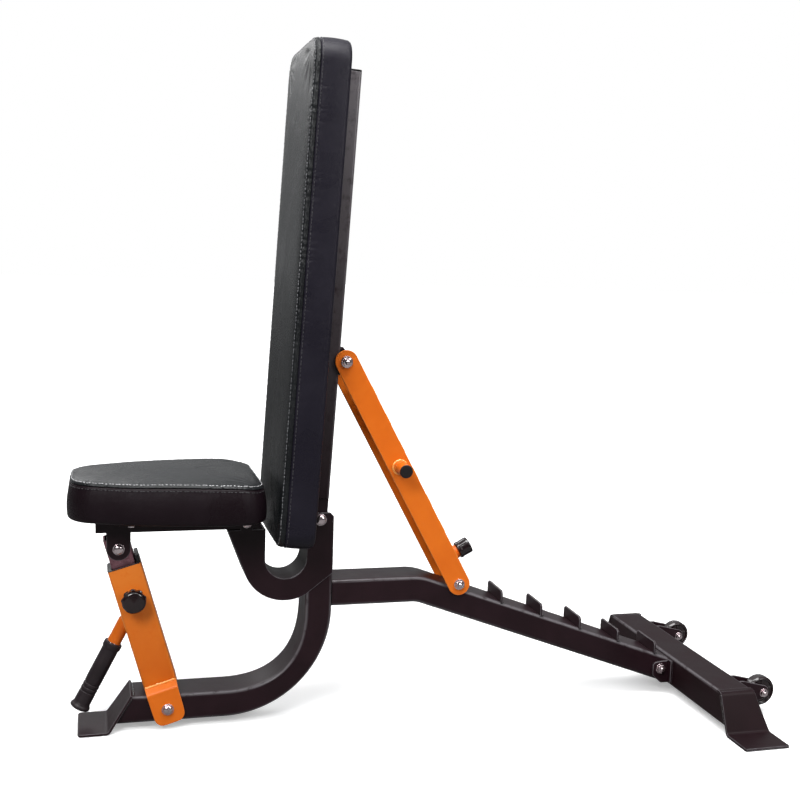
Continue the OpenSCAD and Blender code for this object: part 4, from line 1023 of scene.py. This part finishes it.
def post_handle():
    """The orange handle tube with a bright zinc ring at its mouth, a painted highlight, and the rubber grip with a
    collar, rings and a flange.
    The weld at its root is where the tube's circle, slid along the tube, meets the post's face."""
    r = 12.5
    tube = [(AXIS, -6, 0), (r, -6, 0), (r, 41.0, 0.8), (r - 2.2, 41.0, 0.6), (r - 2.2, 36.0, 0), (AXIS, 36.0, 0)]
    lathed("handle_tube", orange, "seat_post", ["post_handle"], handle, tube, 3)
    # A zinc ring at the tube's mouth stands for the highlight on its rim: a painted highlight.
    mouth = [(r - 2.0, 39.8, 0), (r + 0.15, 39.8, 0.2), (r + 0.2, 41.2, 0.5), (r - 2.0, 41.2, 0.4), (r - 2.0, 39.8, 0)]
    lathed("handle_mouth_highlight", zinc, "seat_post", [], handle, mouth)
    root = Shell()
    t = np.linspace(0, 2 * math.pi, 40)
    u, v = (r + 0.6) * np.cos(t), (r + 0.6) * np.sin(t)
    ways = handle.axes @ post.axes.T
    start = post.axes @ (handle.origin - post.origin) * 1000.0
    slid = (-30.2 - start[0] - u * ways[0, 0]) / ways[2, 0]
    loop = np.stack([np.full(len(t), -30.4), v, start[2] + u * ways[0, 2] + slid * ways[2, 2]], 1)
    add_bead(root, post, loop, (-1, 0, 0), 2.0, pitch=2.4, seed=31)
    piece("handle_weld", root, orange_weld_highlight, "seat_post")

    shell = Shell()
    low, high, body, bore, collar, flange = 41.0, 175.0, 15.1, 12.55, 16.8, 18.2
    corners = [(bore, low + 0.4, 0), (collar - 0.6, low, 0.8), (collar, low + 1.6, 1.0), (collar, low + 9.2, 1.4),
               (body, low + 12.5, 1.6)]
    for share in (0.62, 0.68, 0.74):
        z = low + (high - low) * share
        corners += [(body, z - 1.8, 0.5), (body - 1.1, z - 1.0, 0.4), (body - 1.1, z + 1.0, 0.4), (body, z + 1.8, 0.5)]
    corners += [(body, high - 12.0, 2.0), (body + 0.9, high - 8.5, 1.5), (flange, high - 5.5, 1.4),
                (flange, high - 1.6, 1.4), (flange - 2.2, high, 1.2), (AXIS, high + 0.4, 0)]
    profile = line_through(corners)
    lathe(shell, handle, np.concatenate([profile, [[AXIS, low + 6]], [[bore, low + 6]], profile[:1]]), 72,
          lambda a, r, z: 1 + 0.0022 * np.sin(9 * a + 0.3) * (r > 14))
    piece("handle_grip_rubber", shell, rubber, "seat_post", "handle_grip")


def lobed(lobes, depth, from_r):
    """A radius that swells and sinks round the piece: depth times a rounded wave of so many lobes, and only
    on the profile's points beyond a radius."""
    def radius(a, r, z):
        wave = 0.5 + 0.5 * np.cos(lobes * a)
        return 1 - depth * (1 - wave ** 0.6) * np.clip((r - from_r) / 3.0, 0, 1)
    return radius


def knobs():
    """The two spring pins' barrels and pull knobs. The seat's is a fluted skirt with a smooth dome, and the
    strut's is a plain mushroom."""
    side = post.facing(0, 0, 217.0, -1)
    barrel = [(5.6, 29.8, 0), (13.0, 29.8, 0.1), (13.0, 48.0, 1.0), (5.6, 48.0, 0.4), (5.6, 29.8, 0)]
    lathed("seat_knob_barrel_turned", orange, "seat_post", ["seat_knob_barrel"], side, barrel, 4, 56)
    skirt = line_through([(5.2, 49.2, 0), (16.5, 48.7, 0.6), (22.0, 49.6, 1.4), (22.3, 54.5, 1.4), (19.0, 56.4, 1.0),
                          (20.6, 57.6, 0.8), (21.0, 62.0, 2.2), (17.5, 66.6, 6.0), (AXIS, 68.8, 0)], 6)
    shell = Shell()
    lathe(shell, side, np.concatenate([skirt, [[AXIS, 54.0]], [[5.2, 54.0]], skirt[:1]]), 144,
          lambda a, r, z: np.where(z < 55.5, lobed(9, 0.12, 15.0)(a, r, z), 1.0))
    piece("seat_knob_moulded", shell, gloss, "seat_pull_knob", "seat_knob", slot="black_plastic")
    pin = [(AXIS, 23.0, 0), (3.8, 23.0, 0.6), (4.9, 25.0, 1.0), (4.9, 50.0, 0.2), (AXIS, 50.0, 0)]
    lathed("seat_knob_pin_turned", zinc, "seat_pull_knob", ["seat_knob_pin"], side, pin, 4, 40)

    out = strut.at(STRUT_KNOB, 0, 0)
    barrel = [(5.6, 21.4, 0), (13.0, 21.4, 0.1), (13.0, 33.4, 1.0), (5.6, 33.4, 0.4), (5.6, 21.4, 0)]
    lathed("strut_knob_barrel_turned", orange, "back_strut", ["strut_knob_barrel"], out, barrel, 4, 56)
    cap = line_through([(5.2, 34.1, 0), (15.6, 33.9, 0.8), (16.3, 35.4, 1.0), (16.3, 40.0, 1.2), (15.5, 41.4, 1.0),
                        (15.9, 47.0, 2.0), (16.2, 55.0, 2.0), (15.6, 59.6, 1.8), (9.0, 60.9, 4.0), (AXIS, 61.2, 0)], 5)
    shell = Shell()
    lathe(shell, out, np.concatenate([cap, [[AXIS, 40.0]], [[5.2, 40.0]], cap[:1]]), 72)
    piece("strut_knob_moulded", shell, gloss, "strut_pull_knob", "strut_knob", slot="black_plastic")


post_pieces()
post_handle()
knobs()


# ---------------------------------------------------------------- cushions

def capsules(shell, centres, along, out, length, r, sink=0.3):
    """Stitches: each a capsule of a few dozen faces, lying along the seam and sunk a little into the pad."""
    along = along / np.linalg.norm(along, axis=1)[:, None]
    side = np.cross(along, out)
    side /= np.linalg.norm(side, axis=1)[:, None]
    up = np.cross(side, along)
    t = np.array([-0.5, -0.46, -0.3, 0.0, 0.3, 0.46, 0.5])
    swell = np.array([0.15, 0.7, 0.95, 1.0, 0.95, 0.7, 0.15])
    lift = 0.25 * r * np.cos(math.pi * t) * 2
    a = np.linspace(0, 2 * math.pi, 6, endpoint=False)
    ring = np.cos(a)[:, None] * side[:, None, None, :] + np.sin(a)[:, None] * up[:, None, None, :]
    lifts = (lift - sink * r)[None, :, None] * up[:, None]
    line = centres[:, None] + t[None, :, None] * length * along[:, None] + lifts
    for stitch in line[:, :, None] + ring * (r * swell)[None, :, None, None]:
        shell.grid(stitch, wrap_v=True)


def plan_loop(corners, step):
    """A rounded closed outline, evenly stepped: its points, its outward directions and the length so far."""
    loop = rounded(corners, 24)
    closed = np.concatenate([loop, loop[:1]])
    s = so_far(closed)
    even = np.linspace(0, s[-1], int(s[-1] / step), endpoint=False)
    pts = np.stack([np.interp(even, s, closed[:, k]) for k in (0, 1)], 1)
    ahead = np.roll(pts, -3, 0) - np.roll(pts, 3, 0)
    ahead /= np.linalg.norm(ahead, axis=1)[:, None]
    out = np.stack([ahead[:, 1], -ahead[:, 0]], 1)
    area = (pts[:, 0] * np.roll(pts[:, 1], -1) - np.roll(pts[:, 0], -1) * pts[:, 1]).sum()
    return pts, out if area > 0 else -out, even, s[-1]


def waves(s, total, shortest, longest, seed):
    """A wave that repeats after the total length: the sum of a_k cos(2 pi k s / total + p_k) over the whole
    numbers k whose wave lies between the shortest and longest, with seeded sizes and starts, scaled to about 1."""
    rng = np.random.default_rng(seed)
    out = np.zeros_like(s)
    for k in range(int(total / longest), int(total / shortest) + 1, 2):
        out += rng.normal() * np.cos(2 * math.pi * k * s / total + rng.uniform(0, 2 * math.pi))
    return out / (np.abs(out).max() + 1e-9)


STITCH_GAP = 6.2


def cushion(name, looks, body, node, place, corners, spine, heights, firm, pulls, seed, lean=0.0, arch=None):
    """A boxed pad. Its side bulges by 2.2 mm between the base and the seam, a groove 1.8 mm deep marks the seam,
    and above it the cover rises as seam + crown (1 - (1 - q)^firm)^(1 / firm), where q goes from 0 at the edge
    to 1 at the pad's middle line, which is the spine. Puckers, waves of 9 to 22 mm along the seam that fade away
    from it, cross it, and each pull (x, y, size, depth, start) is a fan of creases around a corner. The side leans
    in by the lean, and arch gives how much higher the seam runs at each place along the pad. heights are those of
    the base, the seam and the crown, and looks those of the side and the upper stitches."""
    base, seam, crown = heights
    pts, out, s, total = plan_loop(corners, 2.4)
    lifted = arch(pts[:, 0]) if arch else np.zeros(len(pts))
    middle_line = np.stack([np.clip(pts[:, 0], *spine), np.zeros(len(pts))], 1)
    reach = middle_line - pts
    h = seam - base
    side = [(-22.0, 0.4), (-12.0, 0.2), (-6.0, 0.1), (-3.0, 0.5), (-1.2, 1.6), (-0.4, 3.0)]
    for f in np.linspace(0.09, 0.93, 15):
        side.append((2.2 * math.sin(math.pi * f) ** 0.8, h * f))
    side += [(0.7, h - 2.6), (0.2, h - 1.6), (-1.0, h - 0.7), (-1.8, h), (-1.0, h + 0.7), (0.2, h + 1.5)]
    offs, lifts = np.array(side).T
    q = np.concatenate([np.linspace(0.012, 0.3, 18), np.linspace(0.33, 1, 16)])
    rise = 2.0 + (crown - 2.0) * (1 - (1 - q) ** firm) ** (1 / firm)
    wrinkle = waves(s, total, 9.0, 22.0, seed)
    slow = waves(s, total, 90.0, 400.0, seed + 1)
    crease = np.maximum(wrinkle, 0) ** 1.3
    rows = []
    for off, lift in zip(offs, lifts):
        near = 1.1 * math.exp(-abs(lift - h) / 9.0) if lift > 1 and abs(lift - h) > 1 else 0
        share = min(max(lift / h, 0), 1)
        push = off - near * crease + 0.5 * slow * math.sin(math.pi * share) - lean * share ** 2
        rows.append(np.stack([*(pts + out * push[:, None]).T, base + lift + lifted * share], 1))
    width = np.linalg.norm(reach, axis=1)
    for k, up in zip(q, rise):
        near = crease * np.exp(-width * k / 10.0)
        flat = pts - out * lean * (1 - k) + reach * k - out * (0.4 * near)[:, None]
        z = seam + lifted * (1 - k) ** 2 + up - 1.5 * near - 0.35 * slow * (1 - (1 - k) ** 2)
        for cx, cy, size, depth, start in pulls:
            dx, dy = flat[:, 0] - cx, flat[:, 1] - cy
            ang, far = np.arctan2(dy, dx), np.hypot(dx, dy)
            fan = np.abs(np.cos(3.4 * ang + start)) ** 7 + 0.6 * np.abs(np.cos(5.3 * ang + 2.1 * start)) ** 9
            z = z - depth * fan * np.exp(-((far - size) / (0.55 * size)) ** 2)
        z = np.where(k > 0.995, seam + up, z)
        rows.append(np.stack([flat[:, 0], flat[:, 1], z], 1))
    rows = np.stack(rows)
    shell = Shell()
    world = place(rows)
    shell.grid(world, wrap_v=True)
    shell.cap([world[0]])
    pad = piece(name, shell, pad_vinyl, body, node, sharp=70, weld=2e-5)
    # The faces below the seam take the side's look, a copy of the vinyl tinted for how light falls on the side: painted
    # shade on the seat, painted light on the backrest.
    pad.data.materials.append(looks[0])
    co = np.zeros(len(pad.data.vertices) * 3)
    pad.data.vertices.foreach_get("co", co)
    local = (co.reshape(-1, 3) - place.origin) @ place.axes.T * 1000.0
    limit = seam + 0.2 + (arch(local[:, 0]) if arch else 0.0)
    under = local[:, 2] < limit
    for face in pad.data.polygons:
        if under[list(face.vertices)].all():
            face.material_index = 1

    n = int(total / STITCH_GAP)
    index = (np.linspace(0, total, n, endpoint=False) / total * len(pts)).astype(int) % len(pts)
    lower, upper = rows[int(np.argmin(np.abs(lifts - (h - 5.2))))][index], rows[len(offs) + 1][index]
    upper = upper + np.stack([*(out[index] * 0.15).T, np.full(n, 0.1)], 1)
    for row_name, look, centres, tip, length, r in (("_lower_stitches", thread, lower, 0.0, 4.3, 0.62),
                                                    ("_upper_stitches", looks[1], upper, 1.2, 4.0, 0.78)):
        direction = np.stack([*out[index].T, np.full(n, tip)], 1)
        direction /= np.linalg.norm(direction, axis=1)[:, None]
        ahead = np.roll(centres, -1, 0) - np.roll(centres, 1, 0)
        stitches = Shell()
        capsules(stitches, centres, ahead, direction, length, r)
        stitches.points = [place(p) for p in stitches.points]
        piece(name + row_name, stitches, look, body)
    return pts, out


COVER_INSET = 14.0


def cover(name, place, pts, out, low, high, body, node):
    """The thin black cloth under a pad, standing for its board: a slab with a soft edge."""
    shell = Shell()
    steps = [(0.6, low), (0.15, low + 0.15), (0.0, low + 0.5), (0.0, high - 0.4), (0.4, high)]
    rows = np.stack([np.concatenate([pts - out * (COVER_INSET + i), np.full((len(pts), 1), z)], 1)
                     for i, z in steps])[:, ::3]
    world = place(rows)
    shell.grid(world, wrap_v=True)
    shell.cap([world[0]])
    shell.cap([world[-1]])
    piece(name, shell, cloth, body, node)


def pads():
    """The seat narrows to a round nose, and the backrest is a long rounded board."""
    x_back, x_nose = SEAT_HINGE[0] + 27.0, SEAT_HINGE[0] - 313.0
    half = [(x_back, 139.5, 52), (-190, 139.5, 200), (-340, 117, 200), (x_nose, 74, 62)]
    corners = [(x_back, -139.5, 52)] + half + [(x, -y, r) for x, y, r in half[:0:-1]]

    def arch(x):
        return 1.5 * np.exp(-((x + 262.0) / 75.0) ** 2) - 6.0 / (1 + np.exp(-(x + 138.0) / 11.0))
    # The seat's side takes the darker copy of the vinyl: painted shade.
    pts, out = cushion("seat_pad", (shaded_seat_side, highlight_thread), "seat", "seat_cushion", bench, corners,
                       (x_nose + 96, x_back - 120), (397.5, 462.0, 14.5), 2.3,
                       [(x_back - 24, -112, 34, 1.0, 0.4), (x_back - 24, 112, 34, 1.0, 1.6)], 3, 4.5, arch)
    cover("seat_pad_cover", bench, pts, out, 397.05, 398.6, "seat", "seat_board")
    low, high = -36.0, 850.0
    corners = [(low, -134.5, 30), (low, 134.5, 30), (high, 134.5, 40), (high, -134.5, 40)]
    pulls = [(high - 24, -108, 44, 1.6, 0.7), (high - 24, 108, 44, 1.0, 1.9), (low + 24, -108, 40, 0.9, 1.2),
             (low + 24, 108, 40, 0.9, 0.2)]
    # The backrest's side takes the lighter, bluish copy of the vinyl: painted light.
    pts, out = cushion("back_pad", (lit_back_side, pale_thread), "backrest", "back_cushion", back, corners,
                       (low + 135, high - 135), (25.9, 80.0, 14.5), 4.6, pulls, 11)
    cover("back_pad_cover", back, pts, out, 25.45, 27.0, "backrest", "back_board")


# ---------------------------------------------------------------- backrest and strut

def back_frame():
    """The backrest's flat rectangular tube with a plastic plug in its upper end and two bumpers behind, its hinge
    brackets, and the strut's lug."""
    low, high, tube_h, rear = 40.0, 812.0, 38.0, -13.0
    along = back.at(0, 0, rear + tube_h / 2, ex=(0, 0, 1), ez=(1, 0, 0))
    shell = Shell()
    box_tube(shell, along, tube_h, TUBE_W, 5.0, low, high, 0.6, (0.2, 0.6))
    piece("back_tube", shell, black, "backrest", "back_frame")
    plug = Shell()
    levels = high + np.array([-14.0, 0.1, 0.1, 0.6, 2.4, 3.2, 3.5])
    insets = [3.0, 3.0, 0.4, 0.0, 0.0, 0.7, 2.4]
    ends = wall(plug, along, rect_section(37.6, 79.6, 4.6, hold=0.6), levels, insets, False)
    plug.cap([ends[0]])
    plug.cap([ends[-1]])
    piece("back_tube_plug", plug, plastic, "backrest")
    bumpers = Shell()
    a = np.radians(np.linspace(0, 90, 10))
    dome = np.stack([9.0 * np.cos(a), 1.6 + 4.2 * np.sin(a)], 1)
    dome[-1, 0] = AXIS
    rim = [[AXIS, -1.5], [10.0, -1.5], [10.0, 1.2], [9.4, 1.6], [9.0, 1.6]]
    for u in (120.0, 732.0):
        behind = back.at(u, 0, rear + 0.1, ex=(0, 1, 0), ey=(1, 0, 0), ez=(0, 0, -1))
        lathe(bumpers, behind, np.concatenate([rim, dome]), 40)
    piece("back_tube_bumpers", bumpers, plastic, "backrest")

    shell = Shell()
    hub = 34.5
    cheek = np.concatenate([arc(0, 0, 18.0, 90, 270, 24), [(3.0, -17.0), (16.0, rear), (39.6, rear), (39.6, 22.4)],
                            [(14.0, 21.0), (4.0, 18.0)]])
    inner = [(39.7, -10.3), (100.0, -10.3), (100.0, 22.3), (39.7, 22.3)]
    for side in (-1, 1):
        plate(shell, back, [cheek], side * (hub - 2.5), THICK_PLATE, 0.9)
        plate(shell, back, [inner], side * (hub - 2.5), THICK_PLATE, 0.5)
    sleeve = [(6.1, 0.4, 0), (12.0, 0.4, 0.6), (12.0, 2 * hub - 0.4, 0.6), (6.1, 2 * hub - 0.4, 0.2), (6.1, 0.4, 0)]
    lathe(shell, back.facing(0, -hub, 0), line_through(sleeve, 3), 40)
    piece("back_bracket_plates", shell, black, "backrest", "back_brackets")
    shell, welds = Shell(), Shell()
    lug = np.concatenate([[(STRUT_U + 26, rear - 0.05), (STRUT_U - 26, rear - 0.05), (STRUT_U - 26, -17.5)],
                          arc(STRUT_U, -STRUT_V, 14.0, 198, 342, 24), [(STRUT_U + 26, -17.5)]])
    for side in (-1, 1):
        plate(shell, back, [lug], side * 35.0, 6.0, 1.0)
        line = [(u, side * 38.4, rear - 0.2) for u in np.linspace(STRUT_U - 24, STRUT_U + 24, 8)]
        add_bead(welds, back, line, (0, side, -0.6), 1.6, seed=71 + side)
        line = [(39.8, side * 35.0, v) for v in np.linspace(-10, 20, 6)]
        add_bead(welds, back, line, (-1, side, 0), 1.7, seed=73 + side)
    piece("strut_lug_plates", shell, black, "backrest", "strut_lug")
    piece("backrest_welds", welds, black_weld, "backrest")


def ring(r, z):
    """A closed circle for a weld around a tube."""
    a = np.linspace(0, 2 * math.pi, 36)
    return np.stack([r * np.cos(a), r * np.sin(a), np.full(len(a), z)], 1)


def strut_pieces():
    """The orange strut: two rounded side plates, the web between them, its rod, stub handles and welds."""
    r, y, web_v, web_from, web_to = 21.5, 44.0, 19.0, 60.0, STRUT_L - 30.0
    outline = np.concatenate([arc(0, 0, r, 90, 270, 32), arc(STRUT_L, 0, r, -90, 90, 32)])
    holes = [arc(0, 0, 6.05, 0, 350, 35), arc(STRUT_L, 0, 6.0, 0, 350, 35)]
    for side, name in ((1, "strut_plate_left"), (-1, "strut_plate_right")):
        shell = Shell()
        plate(shell, strut, [outline] + holes, side * y, THICK_PLATE, 1.2)
        piece(name + "_sheet", shell, orange, "back_strut", name)
    shell = Shell()
    path = straight((web_from, web_v), (web_to, web_v), 40)
    half = np.full(len(path), 41.6)
    strip(shell, lambda a, b, c: strut(np.stack([a, c, b], -1)), path, THICK_PLATE, -half, half, 1.0, 0.9)
    piece("strut_web_sheet", shell, orange, "back_strut", "strut_web")
    lathed("strut_rod_turned", black, "back_strut", ["strut_cross_rod"], strut.facing(STRUT_L * 0.26, -41.5, 0),
           [(AXIS, 0, 0), (8.0, 0, 0.5), (8.0, 83.0, 0.5), (AXIS, 83.0, 0)], 3, 40)
    stubs, caps, welds = Shell(), Shell(), Shell()
    tube = line_through([(10.0, -0.4, 0), (12.0, -0.4, 0.1), (12.0, 43.9, 0.5), (10.0, 43.9, 0.3), (10.0, -0.4, 0)], 3)
    cap = line_through([(AXIS, 30, 0), (9.9, 30, 0.5), (9.9, 44.0, 0.1), (12.2, 44.0, 0.5), (12.5, 45.4, 0.7),
                        (12.0, 47.0, 1.2), (6.0, 47.6, 3.0), (AXIS, 47.7, 0)])
    for side in (-1, 1):
        out = strut.facing(STRUT_L * 0.46, side * 46.5, 0, side)
        lathe(stubs, out, tube, 48)
        lathe(caps, out, cap, 48)
        add_bead(welds, out, ring(12.9, 0.4), (0, 0, 1), 2.0, pitch=2.5, seed=80 + side)
        for u in np.linspace(75, STRUT_L - 60, 7):
            line = [(u + d, side * 42.0, 21.4) for d in np.linspace(-13, 13, 6)]
            add_bead(welds, strut, line, (0, 0, 1), 1.7, seed=int(1000 + side * u))
        for u, way in ((web_from, -1), (web_to, 1)):
            line = [(u, side * f, 21.6) for f in np.linspace(40.5, 30, 4)]
            add_bead(welds, strut, line, (way, 0, 0.5), 1.4, seed=100 + side)
    add_bead(welds, strut.at(STRUT_L - 43.0, 0, r), ring(13.8, 0.3), (0, 0, 1), 1.7, pitch=2.4, seed=110)
    piece("strut_handle_tubes", stubs, orange, "back_strut", "strut_handles")
    piece("strut_handle_plugs", caps, plastic, "back_strut", "strut_handle_caps")
    piece("strut_welds", welds, orange_weld_highlight, "back_strut")
    pin = [(AXIS, 9.0, 0), (3.8, 9.0, 0.6), (4.95, 11.5, 1.0), (4.95, 45.0, 0.2), (AXIS, 45.0, 0)]
    lathed("strut_knob_pin_turned", zinc, "strut_pull_knob", ["strut_knob_pin"], strut.at(STRUT_L - 43.0, 0, 0),
           pin, 4, 40)


def seat_clevis():
    """The two clevis plates under the seat's nose, with rounded lower ends."""
    shell = Shell()
    cx, cz = CLEVIS
    outline = np.concatenate([arc(cx, cz, 21.0, 180, 360, 32), [(cx + 21, 394.0), (cx - 21, 394.0)]])
    for side in (-1, 1):
        plate(shell, bench, [outline, arc(cx, cz, 5.0, 0, 350, 35)], side * 26.0, THICK_PLATE, 1.0)
    piece("seat_clevis_plates", shell, black, "seat", "seat_clevis")


pads()
back_frame()
strut_pieces()
seat_clevis()

for name, look in (("inner_bar", steel), ("seat_frame", black), ("seat_screws", zinc), ("back_screws", zinc)):
    nodes[name].data.materials.clear()
    nodes[name].data.materials.append(look)


# ---------------------------------------------------------------- floor, light and camera

def two_faced(tree, to_object, to_camera, output):
    """Shows the camera one shader and every other ray the other."""
    seen = tree.nodes.new("ShaderNodeLightPath").outputs["Is Camera Ray"]
    both = add(tree, "ShaderNodeMixShader", {0: seen, 1: to_object.outputs[0], 2: to_camera.outputs[0]})
    out = next(n for n in tree.nodes if n.type == output)
    tree.links.new(both.outputs[0], out.inputs["Surface"])


def floor():
    """A plain pale floor that runs far past the view and whitens with distance. It throws little light back, so that
    the undersides and sides stay dark."""
    mesh = bpy.data.meshes.new("floor")
    mesh.from_pydata([(x, y, -0.0005) for x, y in ((-30, -30), (30, -30), (30, 30), (-30, 30))], [], [(0, 1, 2, 3)])
    look, tree, shader, where = blank("floor_paint")
    shader.inputs["Base Color"].default_value = (0.8, 0.8, 0.8, 1.0)
    shader.inputs["Roughness"].default_value = 1.0
    shader.inputs["Specular IOR Level"].default_value = 0.0
    far = add(tree, "ShaderNodeVectorMath", {0: where}, operation="LENGTH").outputs["Value"]
    tree.links.new(ramp(tree, far, 0.4, 4.0, 0.35, 1.0), shader.inputs["Emission Strength"])
    shader.inputs["Emission Color"].default_value = (1.0, 1.0, 1.0, 1.0)
    dull = add(tree, "ShaderNodeBsdfDiffuse", {"Color": (0.16, 0.16, 0.16, 1.0)})
    two_faced(tree, dull, shader, "OUTPUT_MATERIAL")
    mesh.materials.append(look)
    obj = bpy.data.objects.new("floor", mesh)
    bpy.context.scene.collection.objects.link(obj)


def sky():
    """White to the camera. To the object it is bright behind and overhead and dim before it, as in a studio with a
    white backdrop, so that sides that face the camera stay dark and top faces catch a sheen."""
    world = bpy.data.worlds.new("studio")
    bpy.context.scene.world = world
    world.use_nodes = True
    tree = world.node_tree
    back_node = next(n for n in tree.nodes if n.type == "BACKGROUND")
    where = tree.nodes.new("ShaderNodeTexCoord").outputs["Generated"]
    way = add(tree, "ShaderNodeSeparateXYZ", {0: where})
    behind = ramp(tree, way.outputs["Y"], 0.05, 0.9, 0.0, 0.34)
    above = ramp(tree, way.outputs["Z"], 0.25, 0.95, 0.0, 0.6)
    total = math_node(tree, "ADD", math_node(tree, "ADD", behind, above), 0.08)
    tree.links.new(total, back_node.inputs["Strength"])
    back_node.inputs["Color"].default_value = (0.97, 0.985, 1.0, 1.0)
    white = add(tree, "ShaderNodeBackground", {"Color": (1.0, 1.0, 1.0, 1.0), "Strength": 1.0})
    two_faced(tree, back_node, white, "OUTPUT_WORLD")


def lamp(name, where, aim, size, power):
    """A soft lamp that looks at a point."""
    data = bpy.data.lights.new(name, "AREA")
    data.shape, data.size, data.size_y = "RECTANGLE", size[0], size[1]
    data.energy = power
    obj = bpy.data.objects.new(name, data)
    obj.location = where
    obj.rotation_euler = (Vector(aim) - Vector(where)).to_track_quat("-Z", "Y").to_euler()
    bpy.context.scene.collection.objects.link(obj)


def camera():
    """The camera, at a distance that fits a 51.75 mm lens, turned, tipped and rolled to the viewing angle."""
    data = bpy.data.cameras.new("camera")
    data.lens, data.sensor_width = 51.75, 36.0
    data.clip_end = 100.0
    obj = bpy.data.objects.new("camera", data)
    yaw, pitch, roll = math.radians(15.214), math.radians(7.185), math.radians(1.876)
    forward = Vector((math.sin(yaw) * math.cos(pitch), math.cos(yaw) * math.cos(pitch), -math.sin(pitch)))
    right = Vector((math.cos(yaw), -math.sin(yaw), 0))
    up = right.cross(forward)
    tilted_right = math.cos(roll) * right + math.sin(roll) * up
    tilted_up = -math.sin(roll) * right + math.cos(roll) * up
    turn = Matrix((tilted_right, tilted_up, -forward)).transposed()
    obj.matrix_world = Matrix.Translation((-0.6315, -2.0846, 0.8722)) @ turn.to_4x4()
    bpy.context.scene.collection.objects.link(obj)
    bpy.context.scene.camera = obj


floor()
sky()
lamp("top_light", (-0.3, -0.7, 3.6), (0.0, 0.0, 0.4), (3.0, 1.6), 130.0)
lamp("front_light", (-2.2, -3.0, 2.9), (0.0, 0.0, 0.45), (1.5, 1.5), 116.0)
lamp("right_light", (2.4, -3.0, 2.6), (0.1, 0.0, 0.4), (1.5, 1.5), 66.0)
lamp("rear_light", (-1.4, 2.6, 2.6), (0.0, 0.0, 0.5), (1.6, 1.6), 30.0)
camera()
bpy.context.scene.view_settings.view_transform = "Standard"
